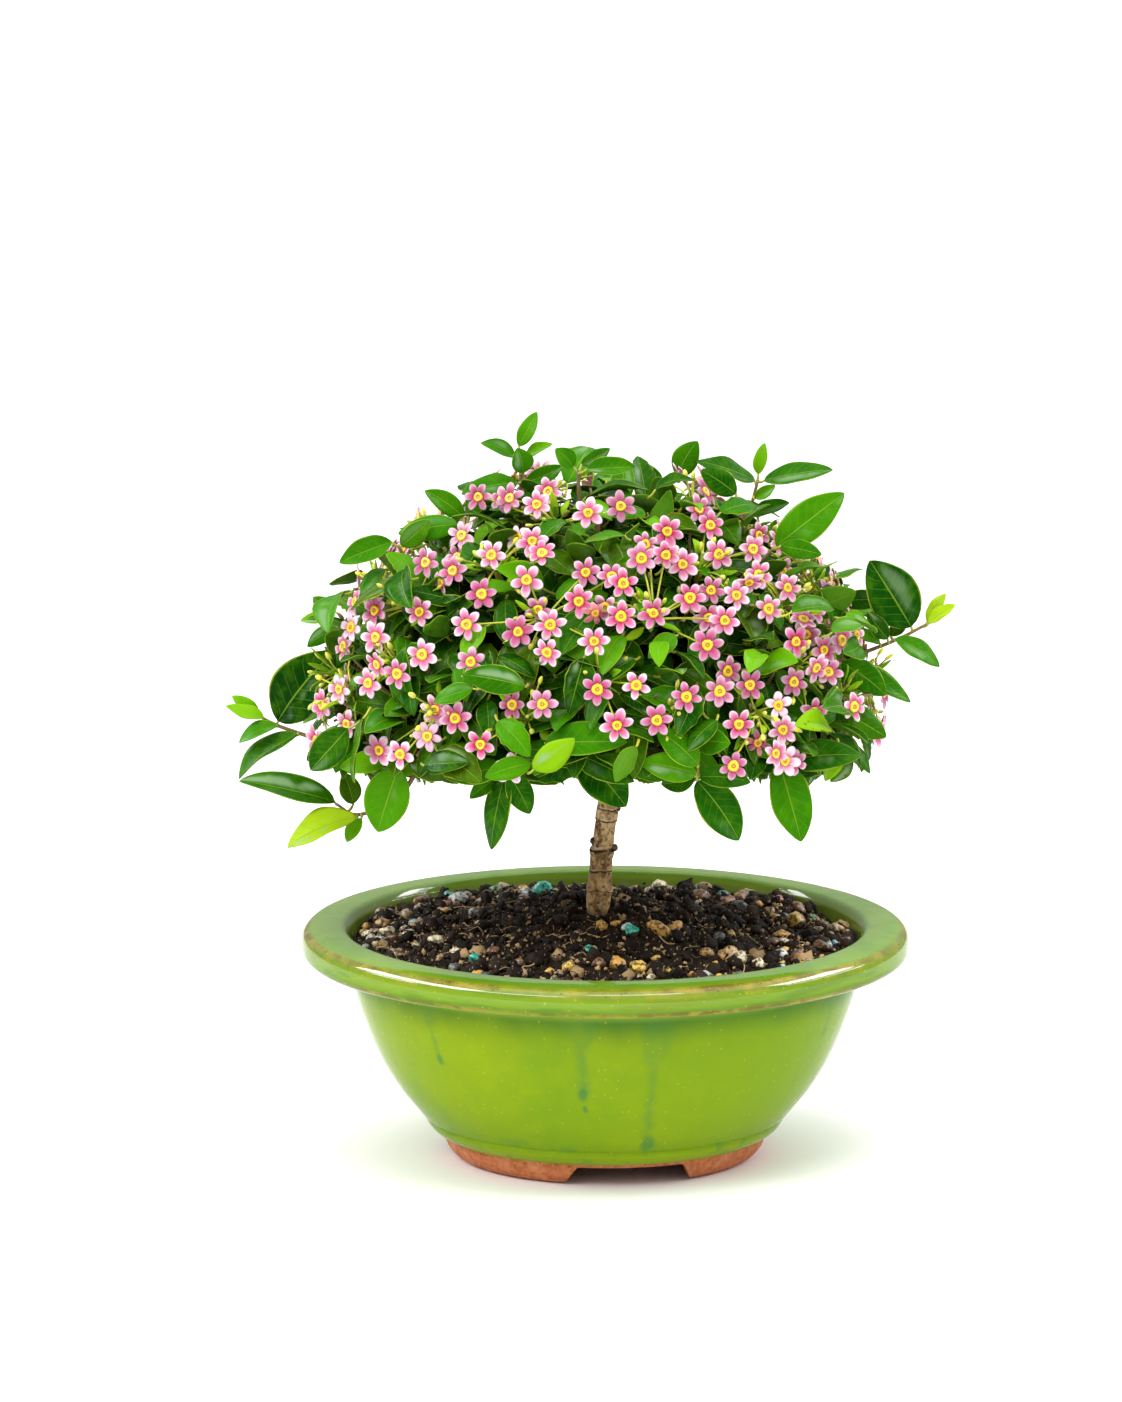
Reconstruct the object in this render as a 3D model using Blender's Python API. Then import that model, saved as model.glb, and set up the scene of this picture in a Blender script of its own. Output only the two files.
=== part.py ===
"""A flowering Barbados cherry bonsai in its round glazed pot.

Metres, +Z up. The origin is on the surface that the pot's three feet stand on, under the middle
of the whole plant, and -Y is the front. The crown reaches further to the left than to the right,
so the pot's axis stands a few millimetres to the right of the origin. Everything is first laid
out round the pot's axis and moved by POT_OFFSET at the end.
"""
import itertools
import math
import random

import bmesh
import bpy
import numpy as np
from mathutils import Matrix, Vector
from mathutils.bvhtree import BVHTree

MM = 0.001
GAP = 0.3 * MM
POT_OFFSET = Vector((4.0 * MM, 0.0, 0.0))

# The pot is one fired piece: a flanged rim, a bowl, and a foot ring with three notches.
POT_SIDES = 34
POT_OUTSIDE = [(38.0, 0.0), (40.6, 0.9), (43.6, 6.6), (48.2, 10.4), (49.4, 11.8), (56.2, 19.8),
               (62.4, 30.0), (67.0, 42.0), (69.8, 53.0), (81.0, 54.2), (82.5, 56.2), (82.3, 60.6),
               (80.8, 62.1)]
POT_INSIDE = [(75.5, 62.9), (70.9, 62.5), (69.0, 60.4), (65.2, 46.0), (58.4, 30.0), (42.0, 12.8),
              (6.0, 12.0), (6.0, 6.2), (31.0, 6.0), (32.0, 0.0)]
NOTCH_MIDDLES = (9.25, 129.25, 249.25)
NOTCH_HALF_ANGLE = 20.75
NOTCH_TOP = 5.5 * MM
NOTCH_SLANT = 2.5
NOTCH_RADII = (26.0 * MM, 46.0 * MM)

# The soil lies on the pot's inner wall, mounds to the trunk, and carries gravel and bark bits.
SOIL_EDGE = 58.3 * MM
SOIL_CROWN = 65.0 * MM
SOIL_WALL = [(68.1, 58.3), (64.9, 46.1), (58.1, 30.2), (41.8, 13.2)]
SOIL_RINGS = 4
SOIL_CLODS = 1.3 * MM
GRAVEL = 18
GRAVEL_SIZE = (1.7 * MM, 3.0 * MM)
GRAVEL_REACH = 62.0 * MM
GRAVEL_APART = 6.5 * MM
GRAVEL_FROM_TRUNK = 9.0 * MM

# The trunk leans right as it rises and forks under the crown.
TRUNK = [((-2.4, 6.0, 47.0), 2.4), ((-2.3, 6.0, 58.0), 3.2), ((-2.1, 5.6, 65.0), 3.7),
         ((-1.6, 5.1, 71.0), 3.3), ((-1.5, 5.0, 72.0), 3.7), ((-1.4, 4.9, 73.0), 3.25),
         ((-0.9, 4.3, 81.6), 3.05), ((-0.8, 4.2, 82.5), 3.45), ((-0.7, 4.1, 83.4), 3.0),
         ((0.3, 3.4, 91.0), 2.95), ((0.4, 3.3, 91.8), 3.2), ((1.3, 2.6, 99.0), 2.8),
         ((1.6, 2.0, 108.0), 2.6), ((0.5, 1.5, 122.0), 2.1), ((-0.5, 1.0, 136.0), 1.7),
         ((-1.0, 0.5, 146.0), 1.4)]
TRUNK_SIDES = 8
BRANCH_SIDES = 4
KNOBS = [((-0.5, 4.2, 85.0), (-1.0, -0.35, 0.25)), ((0.0, 4.0, 83.0), (1.0, -0.3, 0.3)),
         ((0.8, 3.2, 94.0), (1.0, -0.35, 0.35))]
KNOB_LENGTH = 4.3 * MM
KNOB_RADIUS = 1.0 * MM
SOIL_HOLE_RADIUS = 4.6 * MM
SOIL_HOLE_FOOT = 46.5 * MM

# The crown is a dome: half an ellipsoid above its widest line and a shallow one below, which
# hangs lower at the sides than at the front and back.
DOME_MIDDLE = Vector((-2.0 * MM, 0.0, 120.0 * MM))
DOME_WIDE = 84.0 * MM
DOME_DEEP = 76.0 * MM
DOME_HIGH = 70.0 * MM
DOME_LOW_SIDES = 25.0 * MM
DOME_LOW_FRONT = 9.0 * MM
CORE_OUT = 0.83
CORE_IN = 0.52
CORE_ROUGH = 0.012
LEAF_ROOT = 0.775
CELL_GAP = 1.0 * MM
# Each leafy spray fills one cell of the dome: azimuth and rise limits in degrees.
LOW_RISE = -38.0
MID_RISE = 26.0
TOP_RISE = 60.0
LOW_CELLS = 7
MID_CELLS = 5

# Leaves, in metres: a length range, the width as a share of it, and how many each spray has.
LEAF_LONG = (15.0 * MM, 20.0 * MM)
LEAF_WIDE = 0.52
LEAF_THICK = 0.85 * MM
LARGE_LEAF = 6.9 * MM
TWIG_RADIUS = 0.75 * MM
PETIOLE_RADIUS = 0.45 * MM
TIPS_APART = 7.0 * MM
LEAVES_LOW, LEAVES_MID, LEAVES_TOP = 12, 9, 7

# Blooms, in metres, on umbels that stand on the sprays.
BLOOM_RADIUS = 4.1 * MM
BLOOM_WAIST = 2.15 * MM
BLOOM_THICK = 1.6 * MM
PETALS = 6
PEDICEL_RADIUS = 0.48 * MM
PEDICEL_BEND = 1.6 * MM
PEDICEL_REACH = 21.0 * MM
HUB_RADIUS = 1.1 * MM
HUB_HEIGHT = 2.2 * MM
HUB_HEIGHTS = (2.2 * MM, 3.0 * MM, 1.6 * MM)
BLOOM_COUNT = 170
BLOOM_SPARSE_BACK = 0.5
BLOOM_APART = 8.7 * MM
UMBEL_MOST = 7
UMBEL_TWISTS = (0.0, 0.15, -0.15, 0.3, -0.3, 0.45, -0.45, 0.6, -0.6)
# Umbel places in a cell, as shares of its width and height.
UMBELS_LOW = [(0.2, 0.3), (0.5, 0.75), (0.8, 0.3)]
UMBELS_FLOOR = 4.0
UMBELS_MID = [(0.2, 0.3), (0.5, 0.7), (0.8, 0.3)]
UMBELS_TOP = [(0.1, 0.3), (0.43, 0.3), (0.77, 0.3)]

LAYOUT_SEED = 39

# Free distances that keep one node's blades off the next, and a node's own apart.
CLEAR_OTHER = 2.3 * MM
CLEAR_OWN = 1.8 * MM

# The shoots that give the crown its outline. Each has the twig's points, and a row for each leaf:
# the blade's foot (x, y, z), its tip (x, z) and the width that the front view shows, in mm.
SHOOTS = {
    "left_upper": ([(-47, -3, 156), (-51.5, -3, 161), (-55.5, -4, 167.5)],
                   [(-57, -5, 168.5, -71, 163, 6.4), (-54.6, -2, 167, -47, 174, 6.2)]),
    "left_mid": ([(-62, -3, 138), (-68, -3, 141), (-74.5, -3, 148.5)],
                 [(-74, -3, 149, -79, 154, 4.8), (-74, 0, 148, -82.5, 147, 3.0),
                  (-72.5, -6, 146, -80.5, 141, 4.6), (-68.5, -8, 141.5, -81, 133.5, 6.0)]),
    "left_back": ([(-54, 4, 151), (-57, 5, 153.5)], [(-57.3, 5, 153.7, -72, 152.5, 6.5)]),
    "left_tip": ([(-72, -4, 114), (-80, -3, 115.6), (-88.5, -3, 118.6), (-93.5, -2, 121)],
                 [(-88.3, -1, 119.3, -73, 138.5, 15.5), (-93.5, 0, 121.4, -100.7, 126, 3.8),
                  (-92, -4, 120.8, -102.2, 124, 3.0), (-88.4, -6, 119, -98.7, 114.3, 3.4),
                  (-82.8, -6, 116.5, -98.7, 104.7, 4.0)]),
    "left_front": ([(-60, -14, 116), (-63, -14, 117)], [(-64, -15, 117.4, -80, 111.6, 10.8)]),
    "left_low": ([(-50, -6, 108), (-56, -6, 99), (-66.5, -6, 94.6), (-72.5, -5, 97.4)],
                 [(-72.7, -4, 97.7, -98.3, 104, 5.0), (-66.8, -10, 94.8, -85.4, 86.3, 6.2),
                  (-65.5, -8, 94, -69.5, 87.5, 4.0), (-67.8, -3, 97, -70.4, 105.5, 6.0)]),
    "left_bright": ([(-50, -39, 118), (-54.6, -41, 115)],
                    [(-54.9, -42, 114.4, -60.6, 96.4, 12.4), (-57, -38, 116, -70.7, 113.6, 5.6)]),
    "right_big": ([(40, -5, 162), (45, -5, 167)],
                  [(45.4, -5, 167.4, 63.5, 181.7, 10.6), (46.6, -9, 168, 57.5, 165.5, 5.4)]),
    "right_top": ([(35, 0, 166), (38.5, 0, 175), (41.4, 0, 185.6)],
                  [(43, 0, 185.4, 61.5, 188.6, 4.4), (40.2, 4, 175, 50, 178.6, 3.6),
                   (41.4, 0, 187.2, 43.2, 195.6, 3.6), (40.4, -3, 181, 46, 184.6, 3.4),
                   (40.6, 2, 185, 24.7, 190.6, 3.8)]),
    "right_mid": ([(58, -5, 149), (63, -5, 152.6)],
                  [(63.7, -4, 153.3, 55.5, 163.5, 6.4), (63.8, -6, 153.2, 76.2, 153.8, 5.2)]),
    "right_tip": ([(60, -3, 134), (63.4, -3, 136), (78, -2, 141.6), (86.5, -1, 145.8)],
                  [(82.5, 0, 145, 71.2, 163, 14.6), (86.8, 0, 146.3, 91.6, 154.2, 3.4),
                   (87, -4, 146.6, 94.2, 151.6, 3.0), (76, -4, 142.4, 70.5, 149.8, 5.0),
                   (77, 3, 142, 81.5, 148, 4.0), (74, -3, 141, 66.4, 144.4, 3.0),
                   (78, -5, 142.6, 90.1, 134.8, 4.6)]),
    "right_low": ([(57, -9, 134.4), (62, -9, 136)],
                  [(63.1, -9, 136.6, 75, 128, 8.4), (62, -3, 133, 82, 124.6, 5.0)]),
    "top_left": ([(-22.6, -2, 176), (-22.6, -1, 184), (-23.2, 0, 193)],
                 [(-23.2, 0, 194.2, -18.4, 203.4, 4.4), (-24.3, 0, 191.3, -33.4, 195.2, 3.6),
                  (-22, -4, 187.6, -23.6, 194.4, 6.2), (-21.4, 1, 191, -14.2, 194.8, 2.6),
                  (-23.6, -3, 184.7, -38.6, 182, 5.8), (-21.2, -3, 185, -11.5, 189.4, 5.2)]),
    "top_mid": ([(-7, -2, 180), (-7.4, -2, 187.6)],
                [(-8.6, -2, 188.4, -13.4, 193.4, 5.4), (-6.4, 1, 188.6, 1.2, 193, 3.9),
                 (-5, -4, 188, 8, 188.4, 4.6)]),
    "top_right": ([(17, 1, 178), (17.6, 1, 185)],
                  [(19.6, 0, 186.6, 25, 196.4, 7.4), (15.6, 2, 185.4, 5.6, 188.8, 3.6)]),
    "right_crest": ([(32, 2, 172), (35, 2, 179)], [(35, 2, 180.6, 25.6, 187, 7.0)]),
    "left_crest": ([(-35, -3, 166), (-38, -4, 173)],
                   [(-39.5, -8, 174, -55.4, 171.4, 6.4), (-38, 0, 174.6, -48.4, 182, 5.6),
                    (-36.7, 9, 173.5, -30.8, 182.9, 6.4)]),
    "low_left": ([(-25.6, -58, 120.6), (-26.4, -60, 117.2)],
                 [(-26.4, -59, 116.4, -30.4, 95.6, 6.6), (-25.6, -62, 116, -20.1, 105.4, 7.3),
                  (-27.2, -62, 118.4, -42.7, 115.8, 6.4), (-27.6, -56, 114.8, -36, 108.6, 4.6)]),
    "low_mid": ([(-7, -56, 122.6), (-7.2, -58, 121.8)], [(-7.2, -58, 121.4, 5.3, 107, 12.2)]),
    "low_front": ([(-14, -66, 125.8)], [(-16.1, -68, 125.6, 5.4, 126.2, 8.0)]),
    "low_right": ([(24, -58, 120), (24, -61, 116.4)],
                  [(23.9, -60, 114, 35.1, 97.6, 10.8), (23.4, -60, 115, 14.5, 113, 5.8),
                   (24.6, -62, 115.4, 38, 114, 5.8), (23.6, -64, 116.6, 8.9, 120.1, 7.8),
                   (24.1, -67, 119.5, 13.2, 129, 7.8)]),
    "low_edge": ([(44, -46, 121), (45.6, -46, 117.6)],
                 [(45.8, -48, 117, 51.8, 95.8, 11.3), (46.4, -44, 116, 67.8, 117.5, 7.4),
                  (44.4, -43, 112.6, 46.4, 103.4, 4.4)]),
    "face_left": ([(-20.6, -68, 141.3)], [(-21.3, -71, 141.3, -37.8, 144.5, 7.8)]),
}
# How far each shoot stands back from where it is written, in mm, along the line on which the front
# view looks down at it, so that the shoots ring the crown and its outline stays.
SHOOT_DEPTHS = {"left_upper": -16, "left_mid": 14, "left_back": 16, "left_front": -6, "left_low": -9,
                "right_big": -18, "right_top": 14, "right_mid": 12, "right_low": -10, "top_mid": -14,
                "top_right": 16, "right_crest": -12, "left_crest": -8}
VIEW_SLOPE = 0.19
WIDTH_FROM_LENGTH = 0.46
OUTLINE_LEAN = 0.12


def vec(point):
    """A point written in millimetres."""
    return Vector(point) * MM


def dome_height(azimuth, up):
    """The dome's half height at an azimuth in degrees, above or below its widest line."""
    front = math.cos(math.radians(azimuth)) ** 2
    return DOME_HIGH if up > 0 else DOME_LOW_SIDES + (DOME_LOW_FRONT - DOME_LOW_SIDES) * front


def dome_point(azimuth, rise, share):
    """A point of the dome scaled by share: azimuth 0 is the front, and rise is up from its rim."""
    high = dome_height(azimuth, rise)
    flat = math.cos(math.radians(rise))
    turn = math.radians(azimuth)
    return DOME_MIDDLE + share * Vector((DOME_WIDE * flat * math.sin(turn),
                                         -DOME_DEEP * flat * math.cos(turn),
                                         high * math.sin(math.radians(rise))))


def dome_angles(point):
    """The azimuth and rise of a point, and its share of the way out to the dome."""
    away = point - DOME_MIDDLE
    across = away.x / DOME_WIDE
    front = -away.y / DOME_DEEP
    azimuth = math.degrees(math.atan2(across, front))
    up = away.z / dome_height(azimuth, away.z)
    flat = math.hypot(across, front)
    return azimuth, math.degrees(math.atan2(up, flat)), math.hypot(flat, up)


def dome_normal(point):
    """The direction out of the dome at a point near its surface."""
    away = point - DOME_MIDDLE
    high = DOME_HIGH if away.z > 0 else DOME_LOW_SIDES * 1.6
    return Vector((away.x / DOME_WIDE ** 2, away.y / DOME_DEEP ** 2, away.z / high ** 2)).normalized()


def dome_cells():
    """The cells: name, azimuth middle and half width, lowest and highest rise."""
    cells = {}
    for i in range(LOW_CELLS):
        cells[f"spray_low_{i + 1}"] = (i * 360.0 / LOW_CELLS, 180.0 / LOW_CELLS, LOW_RISE, MID_RISE)
    for i in range(MID_CELLS):
        middle = (i + 0.5) * 360.0 / MID_CELLS
        cells[f"spray_mid_{i + 1}"] = (middle, 180.0 / MID_CELLS, MID_RISE, TOP_RISE)
    cells["spray_top"] = (0.0, 180.0, TOP_RISE, 90.0)
    return cells


def turned(angle):
    """An angle brought between -180 and 180 degrees."""
    return (angle + 180.0) % 360.0 - 180.0


def cell_at(azimuth, rise, cells):
    """The name of the cell that holds a direction."""
    for name, (middle, half, low, high) in cells.items():
        low = -90.0 if name.startswith("spray_low") else low
        if abs(turned(azimuth - middle)) <= half and low <= rise < high + 0.001:
            return name
    return "spray_top"


def held_in(cell, azimuth, rise, margin):
    """The nearest direction that lies inside a cell by a margin in metres."""
    middle, half, low, high = cell
    rise_margin = math.degrees(margin / DOME_HIGH)
    rise = min(max(rise, low + rise_margin), high - rise_margin if high < 90 else 89.0)
    if half < 180.0:
        width = DOME_WIDE * max(math.cos(math.radians(rise)), 0.3)
        room = max(half - math.degrees(margin / width), 0.0)
        azimuth = middle + min(max(turned(azimuth - middle), -room), room)
    return azimuth, rise


def across_blade(along, face):
    """Unit vectors of a blade: along it, across it, and out of its upper face."""
    along = along.normalized()
    side = face.cross(along).normalized()
    return along, side, along.cross(side)


def blade_rows(leaf, shares):
    """Midrib points of a leaf with its half width and axes at each share of its length."""
    along, side, out = across_blade(leaf["tip"] - leaf["foot"], leaf["face"])
    length = (leaf["tip"] - leaf["foot"]).length
    rows = []
    for share in shares:
        bow = leaf["bow"] * length * 4.0 * share * (1.0 - share)
        half = 0.5 * leaf["width"] * math.sin(math.pi * share ** 0.86) ** 0.8
        rows.append((leaf["foot"] + along * (length * share) + out * bow, half, side, out))
    return rows


def leaf_samples(leaf):
    """Points on a leaf about 2 mm apart, from its root to its tip."""
    length = (leaf["tip"] - leaf["foot"]).length
    steps = max(int(length / (2.2 * MM)), 3)
    points = rod_samples(leaf["root"].lerp(leaf["foot"], 0.25), leaf["foot"])
    for middle, half, side, out in blade_rows(leaf, [(i + 0.5) / steps for i in range(steps)]):
        lanes = max(int(half / (1.6 * MM)), 1)
        for lane in range(-lanes, lanes + 1):
            points.append(middle + side * (half * 0.94 * lane / lanes))
    points.append(leaf["tip"])
    return np.array(points)


def rod_samples(start, end, step=1.3 * MM):
    """Points along a straight stretch."""
    count = max(int((end - start).length / step), 1)
    return [start.lerp(end, i / count) for i in range(count + 1)]


def outline_shoots(cells, rng):
    """Twigs and leaves of the named shoots, each with the spray that it grows from."""
    shoots = []
    for name, (twig, rows) in SHOOTS.items():
        back = Vector((0.0, 1.0, -VIEW_SLOPE)) * (SHOOT_DEPTHS.get(name, 0.0) * MM)
        twig = [vec(p) + back for p in twig]
        azimuth, rise, _ = dome_angles(twig[0])
        spray = cell_at(azimuth, rise, cells)
        azimuth, rise = held_in(cells[spray], azimuth, rise, 5.0 * MM)
        twig.insert(0, dome_point(azimuth, rise, 0.74))
        leaves = []
        for i, (x, y, z, tip_x, tip_z, seen) in enumerate(rows):
            foot, tip = vec((x, y, z)) + back, vec((tip_x, y, tip_z)) + back
            length = (tip - foot).length
            tip.y += length * rng.uniform(-OUTLINE_LEAN, OUTLINE_LEAN)
            width = max(seen * MM, WIDTH_FROM_LENGTH * length)
            turn = math.acos(min(seen * MM / width, 0.97))
            flat = (tip - foot).cross(Vector((0, 1, 0))).normalized()
            flat = flat if flat.z > 0 else -flat
            face = Vector((0, -1, 0)) * math.cos(turn) + flat * math.sin(turn)
            root = nearest_on(twig, foot, (0.5 + 0.3 * i) * MM)
            leaves.append({"root": root, "foot": foot, "tip": tip, "face": face, "width": width,
                           "bow": rng.uniform(0.03, 0.08)})
        shoots.append({"name": name, "spray": spray, "twig": twig, "leaves": leaves})
    return shoots


def nearest_on(path, point, short):
    """The point of a path nearest to a point, on stretches that each end a little short."""
    best = None
    for a, b in zip(path, path[1:]):
        most = 1.0 - short / (b - a).length
        share = min(max((point - a).dot(b - a) / (b - a).length_squared, 0.0), most)
        spot = a.lerp(b, share)
        if best is None or (spot - point).length < (best - point).length:
            best = spot
    return best


class Crowd:
    """Sample points of what is placed so far, with the node that each belongs to."""

    def __init__(self):
        self.points = np.zeros((0, 3))
        self.owners = np.zeros(0, dtype="U24")

    def add(self, points, owner):
        self.points = np.vstack([self.points, np.asarray(points, float)])
        self.owners = np.concatenate([self.owners, np.full(len(points), owner, dtype="U24")])

    def clear(self, points, owner, own_distance, other_distance=CLEAR_OTHER):
        """Whether points keep their distance from all that is placed."""
        points = np.asarray(points, float)
        low, high = points.min(0) - other_distance, points.max(0) + other_distance
        near = ((self.points > low) & (self.points < high)).all(1)
        if not near.any():
            return True
        gaps = np.linalg.norm(self.points[near][:, None] - points[None], axis=2).min(1)
        own = self.owners[near] == owner
        return not ((gaps[own] < own_distance).any() or (gaps[~own] < other_distance).any())


def umbel_places(cells):
    """The foot of each umbel: its spray, and a direction inside that spray's cell."""
    places = {}
    for spray, (middle, half, low, high) in cells.items():
        spots = UMBELS_LOW if "low" in spray else UMBELS_MID if "mid" in spray else UMBELS_TOP
        floor = max(low, UMBELS_FLOOR)
        for i, (across, up) in enumerate(spots):
            name = spray.replace("spray", "umbel") + "_" + "abc"[i]
            places[name] = (spray, middle + half * (2.0 * across - 1.0), floor + (high - floor) * up)
    return places


def bloom_frame(face):
    """Two unit vectors in the plane of a bloom that looks along face."""
    side = face.cross(Vector((0, 0, 1)))
    side = side.normalized() if side.length > 0.01 else Vector((1, 0, 0))
    return side, face.cross(side).normalized()


def bloom_samples(bloom):
    """Points on a bloom's petals and down its pedicel."""
    side, up = bloom_frame(bloom["face"])
    points = [bloom["middle"]]
    for radius, count in ((0.5, 6), (0.97, 10)):
        for i in range(count):
            turn = 2.0 * math.pi * i / count
            arm = side * math.cos(turn) + up * math.sin(turn)
            points.append(bloom["middle"] + arm * (radius * BLOOM_RADIUS))
    return points + rod_samples(bloom["middle"], bloom["foot"])[1:]


def bloom_facing(middle):
    """A bloom looks out of the crown, and those of the front half look to the front."""
    out = dome_normal(middle)
    level = Vector((out.x, out.y, 0.0))
    level = level.normalized() if level.length > 0.05 else Vector((0, -1, 0))
    front = max(-level.y, 0.0)
    return (out * 0.35 + level * 0.45 + Vector((0, -1, 0.05)) * (0.55 * front + 0.1)).normalized()


def free_feet(places, cells, crowd, rng):
    """The foot of each umbel, moved about in its cell until it stands clear of the twigs."""
    feet = {}
    for name, (spray, azimuth, rise) in places.items():
        for reach in range(60):
            spot = held_in(cells[spray], azimuth + rng.uniform(-0.4, 0.4) * reach,
                           rise + rng.uniform(-0.25, 0.25) * reach, 5.0 * MM)
            foot = dome_point(*spot, CORE_OUT + 0.015)
            out = dome_normal(foot)
            stalk = rod_samples(foot - out * 3.0 * MM, foot + out * HUB_HEIGHT * 1.5)
            if crowd.clear(stalk, name, 0.0, 3.0 * MM):
                break
        crowd.add(stalk, name)
        feet[name] = foot
    return feet


def place_blooms(cells, crowd, rng):
    """Blooms over the dome, each on the nearest umbel that has room for it."""
    places = umbel_places(cells)
    feet = free_feet(places, cells, crowd, rng)
    blooms = []
    counts = {n: 0 for n in places}
    tries = list(range(1500))
    rng.shuffle(tries)
    for i in tries:
        if len(blooms) == BLOOM_COUNT:
            break
        height = -0.16 + 1.13 * (i + 0.5) / len(tries)
        rise = math.degrees(math.asin(max(min(height, 0.999), -0.999)))
        azimuth = turned(i * 137.50776)
        side_on = abs(math.sin(math.radians(azimuth))) * math.cos(math.radians(rise))
        share = 0.975 - 0.07 * side_on + rng.uniform(-0.02, 0.02)
        middle = dome_point(azimuth, rise, share)
        behind = 0.5 - 0.5 * math.cos(math.radians(azimuth))
        if rng.random() < BLOOM_SPARSE_BACK * behind:
            continue
        spray = cell_at(azimuth, rise, cells)
        own = [n for n in places if places[n][0] == spray and counts[n] < UMBEL_MOST]
        if not own:
            continue
        umbel = min(own, key=lambda n: (feet[n] - middle).length)
        face = bloom_facing(middle)
        foot = feet[umbel] + dome_normal(feet[umbel]) * (0.6 * HUB_HEIGHT)
        bloom = {"umbel": umbel, "middle": middle, "face": face, "foot": foot,
                 "roll": rng.uniform(0.0, 60.0), "size": rng.uniform(0.92, 1.06),
                 "order": len(blooms)}
        apart = all((b["middle"] - middle).length > BLOOM_APART for b in blooms)
        reach = (middle - foot).length
        samples = bloom_samples(bloom)
        above = all(dome_angles(Vector(p))[2] > CORE_OUT + 0.03 for p in samples[:-2])
        if apart and above and reach < PEDICEL_REACH and crowd.clear(samples[:-1], umbel, 0.0):
            crowd.add(samples, umbel)
            counts[umbel] += 1
            blooms.append(bloom)
    return blooms, places, feet


def dome_leaves(spray, cell, count, crowd, rng):
    """A spray's leaves: they rise from its core and bend over near the dome's surface."""
    middle, half, low, high = cell
    leaves, tips = [], []
    for _ in range(count * 90):
        if len(leaves) == count:
            break
        azimuth = middle + rng.uniform(-half, half)
        if high == 90.0:
            rise = 90.0 - 32.0 * math.sqrt(rng.random())
        else:
            rise = rng.uniform(low, high)
        length = rng.uniform(*LEAF_LONG)
        tip = dome_point(azimuth, rise, rng.uniform(0.95, 1.03))
        out = dome_normal(tip)
        down = (out * out.z - Vector((0, 0, 1))) + Vector((out.x, out.y, 0.0)) * 0.4
        turn = Matrix.Rotation(rng.gauss(0.0, 0.9), 3, out)
        lie = turn @ down
        lie = (lie - out * lie.dot(out)).normalized()
        lift = (tip - dome_point(azimuth, rise, LEAF_ROOT)).length
        run = math.sqrt(max(length ** 2 - lift ** 2, (5.0 * MM) ** 2))
        azimuth, rise, _ = dome_angles(tip - lie * run - out * lift)
        root_azimuth, root_rise = held_in(cell, azimuth, rise, 4.5 * MM)
        root = dome_point(root_azimuth, root_rise, LEAF_ROOT)
        span = tip - root
        if span.length > LEAF_LONG[1] * 1.25 or any((t - tip).length < TIPS_APART for t in tips):
            continue
        face = (out * 0.8 + Vector((0, 0, 0.45)) + Vector(rng.gauss(0, 0.22) for _ in range(3)))
        leaf = {"root": root, "foot": root + span * 0.26, "tip": tip, "face": face.normalized(),
                "width": LEAF_WIDE * span.length * 0.8, "bow": rng.uniform(0.04, 0.12)}
        samples = leaf_samples(leaf)
        if stays_home(samples, cell) and crowd.clear(samples, spray, CLEAR_OWN):
            crowd.add(samples, spray)
            leaves.append(leaf)
            tips.append(tip)
    return leaves


def stays_home(samples, cell):
    """Whether the points that are as deep as the sprays' cores all lie well inside one cell."""
    for point in samples:
        azimuth, rise, share = dome_angles(Vector(point))
        if share < CORE_OUT + 0.03:
            held = held_in(cell, azimuth, rise, 2.0 * MM)
            if abs(turned(held[0] - azimuth)) > 0.01 or held[1] < rise - 0.01:
                return False
    return True


def crown_layout():
    """All leaves, twigs and blooms of the crown, placed round the pot's axis."""
    rng = random.Random(LAYOUT_SEED)
    cells = dome_cells()
    crowd = Crowd()
    shoots = outline_shoots(cells, rng)
    for shoot in shoots:
        for a, b in zip(shoot["twig"][1:], shoot["twig"][2:]):
            crowd.add(rod_samples(a, b), shoot["spray"])
        for leaf in shoot["leaves"]:
            crowd.add(leaf_samples(leaf), shoot["spray"])
    blooms, umbels, feet = place_blooms(cells, crowd, rng)
    leaves = {}
    for spray, cell in cells.items():
        count = LEAVES_LOW if "low" in spray else LEAVES_MID if "mid" in spray else LEAVES_TOP
        leaves[spray] = dome_leaves(spray, cell, count, crowd, rng)
    return {"cells": cells, "shoots": shoots, "blooms": blooms, "umbels": umbels, "feet": feet,
            "leaves": leaves}


def new_object(name, points, faces):
    """A mesh object with outward faces."""
    mesh = bpy.data.meshes.new(name)
    mesh.from_pydata([tuple(p) for p in points], [], faces)
    work = bmesh.new()
    work.from_mesh(mesh)
    bmesh.ops.recalc_face_normals(work, faces=work.faces)
    work.to_mesh(mesh)
    work.free()
    thing = bpy.data.objects.new(name, mesh)
    bpy.context.scene.collection.objects.link(thing)
    return thing


def finish_mesh(thing, smooth):
    """Keeps the one outer body of a fused mesh, in triangles, and sets its shading."""
    work = bmesh.new()
    work.from_mesh(thing.data)
    bmesh.ops.dissolve_degenerate(work, edges=work.edges, dist=2e-6)
    bmesh.ops.triangulate(work, faces=work.faces)
    islands, left = [], set(work.faces)
    while left:
        island, fringe = [], [left.pop()]
        while fringe:
            face = fringe.pop()
            island.append(face)
            for edge in face.edges:
                for other in edge.link_faces:
                    if other in left and len(edge.link_faces) == 2:
                        left.discard(other)
                        fringe.append(other)
        islands.append(island)
    islands.sort(key=lambda faces: sum(f.calc_area() for f in faces))
    loose = [f for island in islands[:-1] for f in island]
    bmesh.ops.delete(work, geom=loose, context="FACES")
    work.to_mesh(thing.data)
    work.free()
    if smooth:
        thing.data.shade_smooth()
        thing.data.set_sharp_from_angle(angle=math.radians(50))


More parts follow.
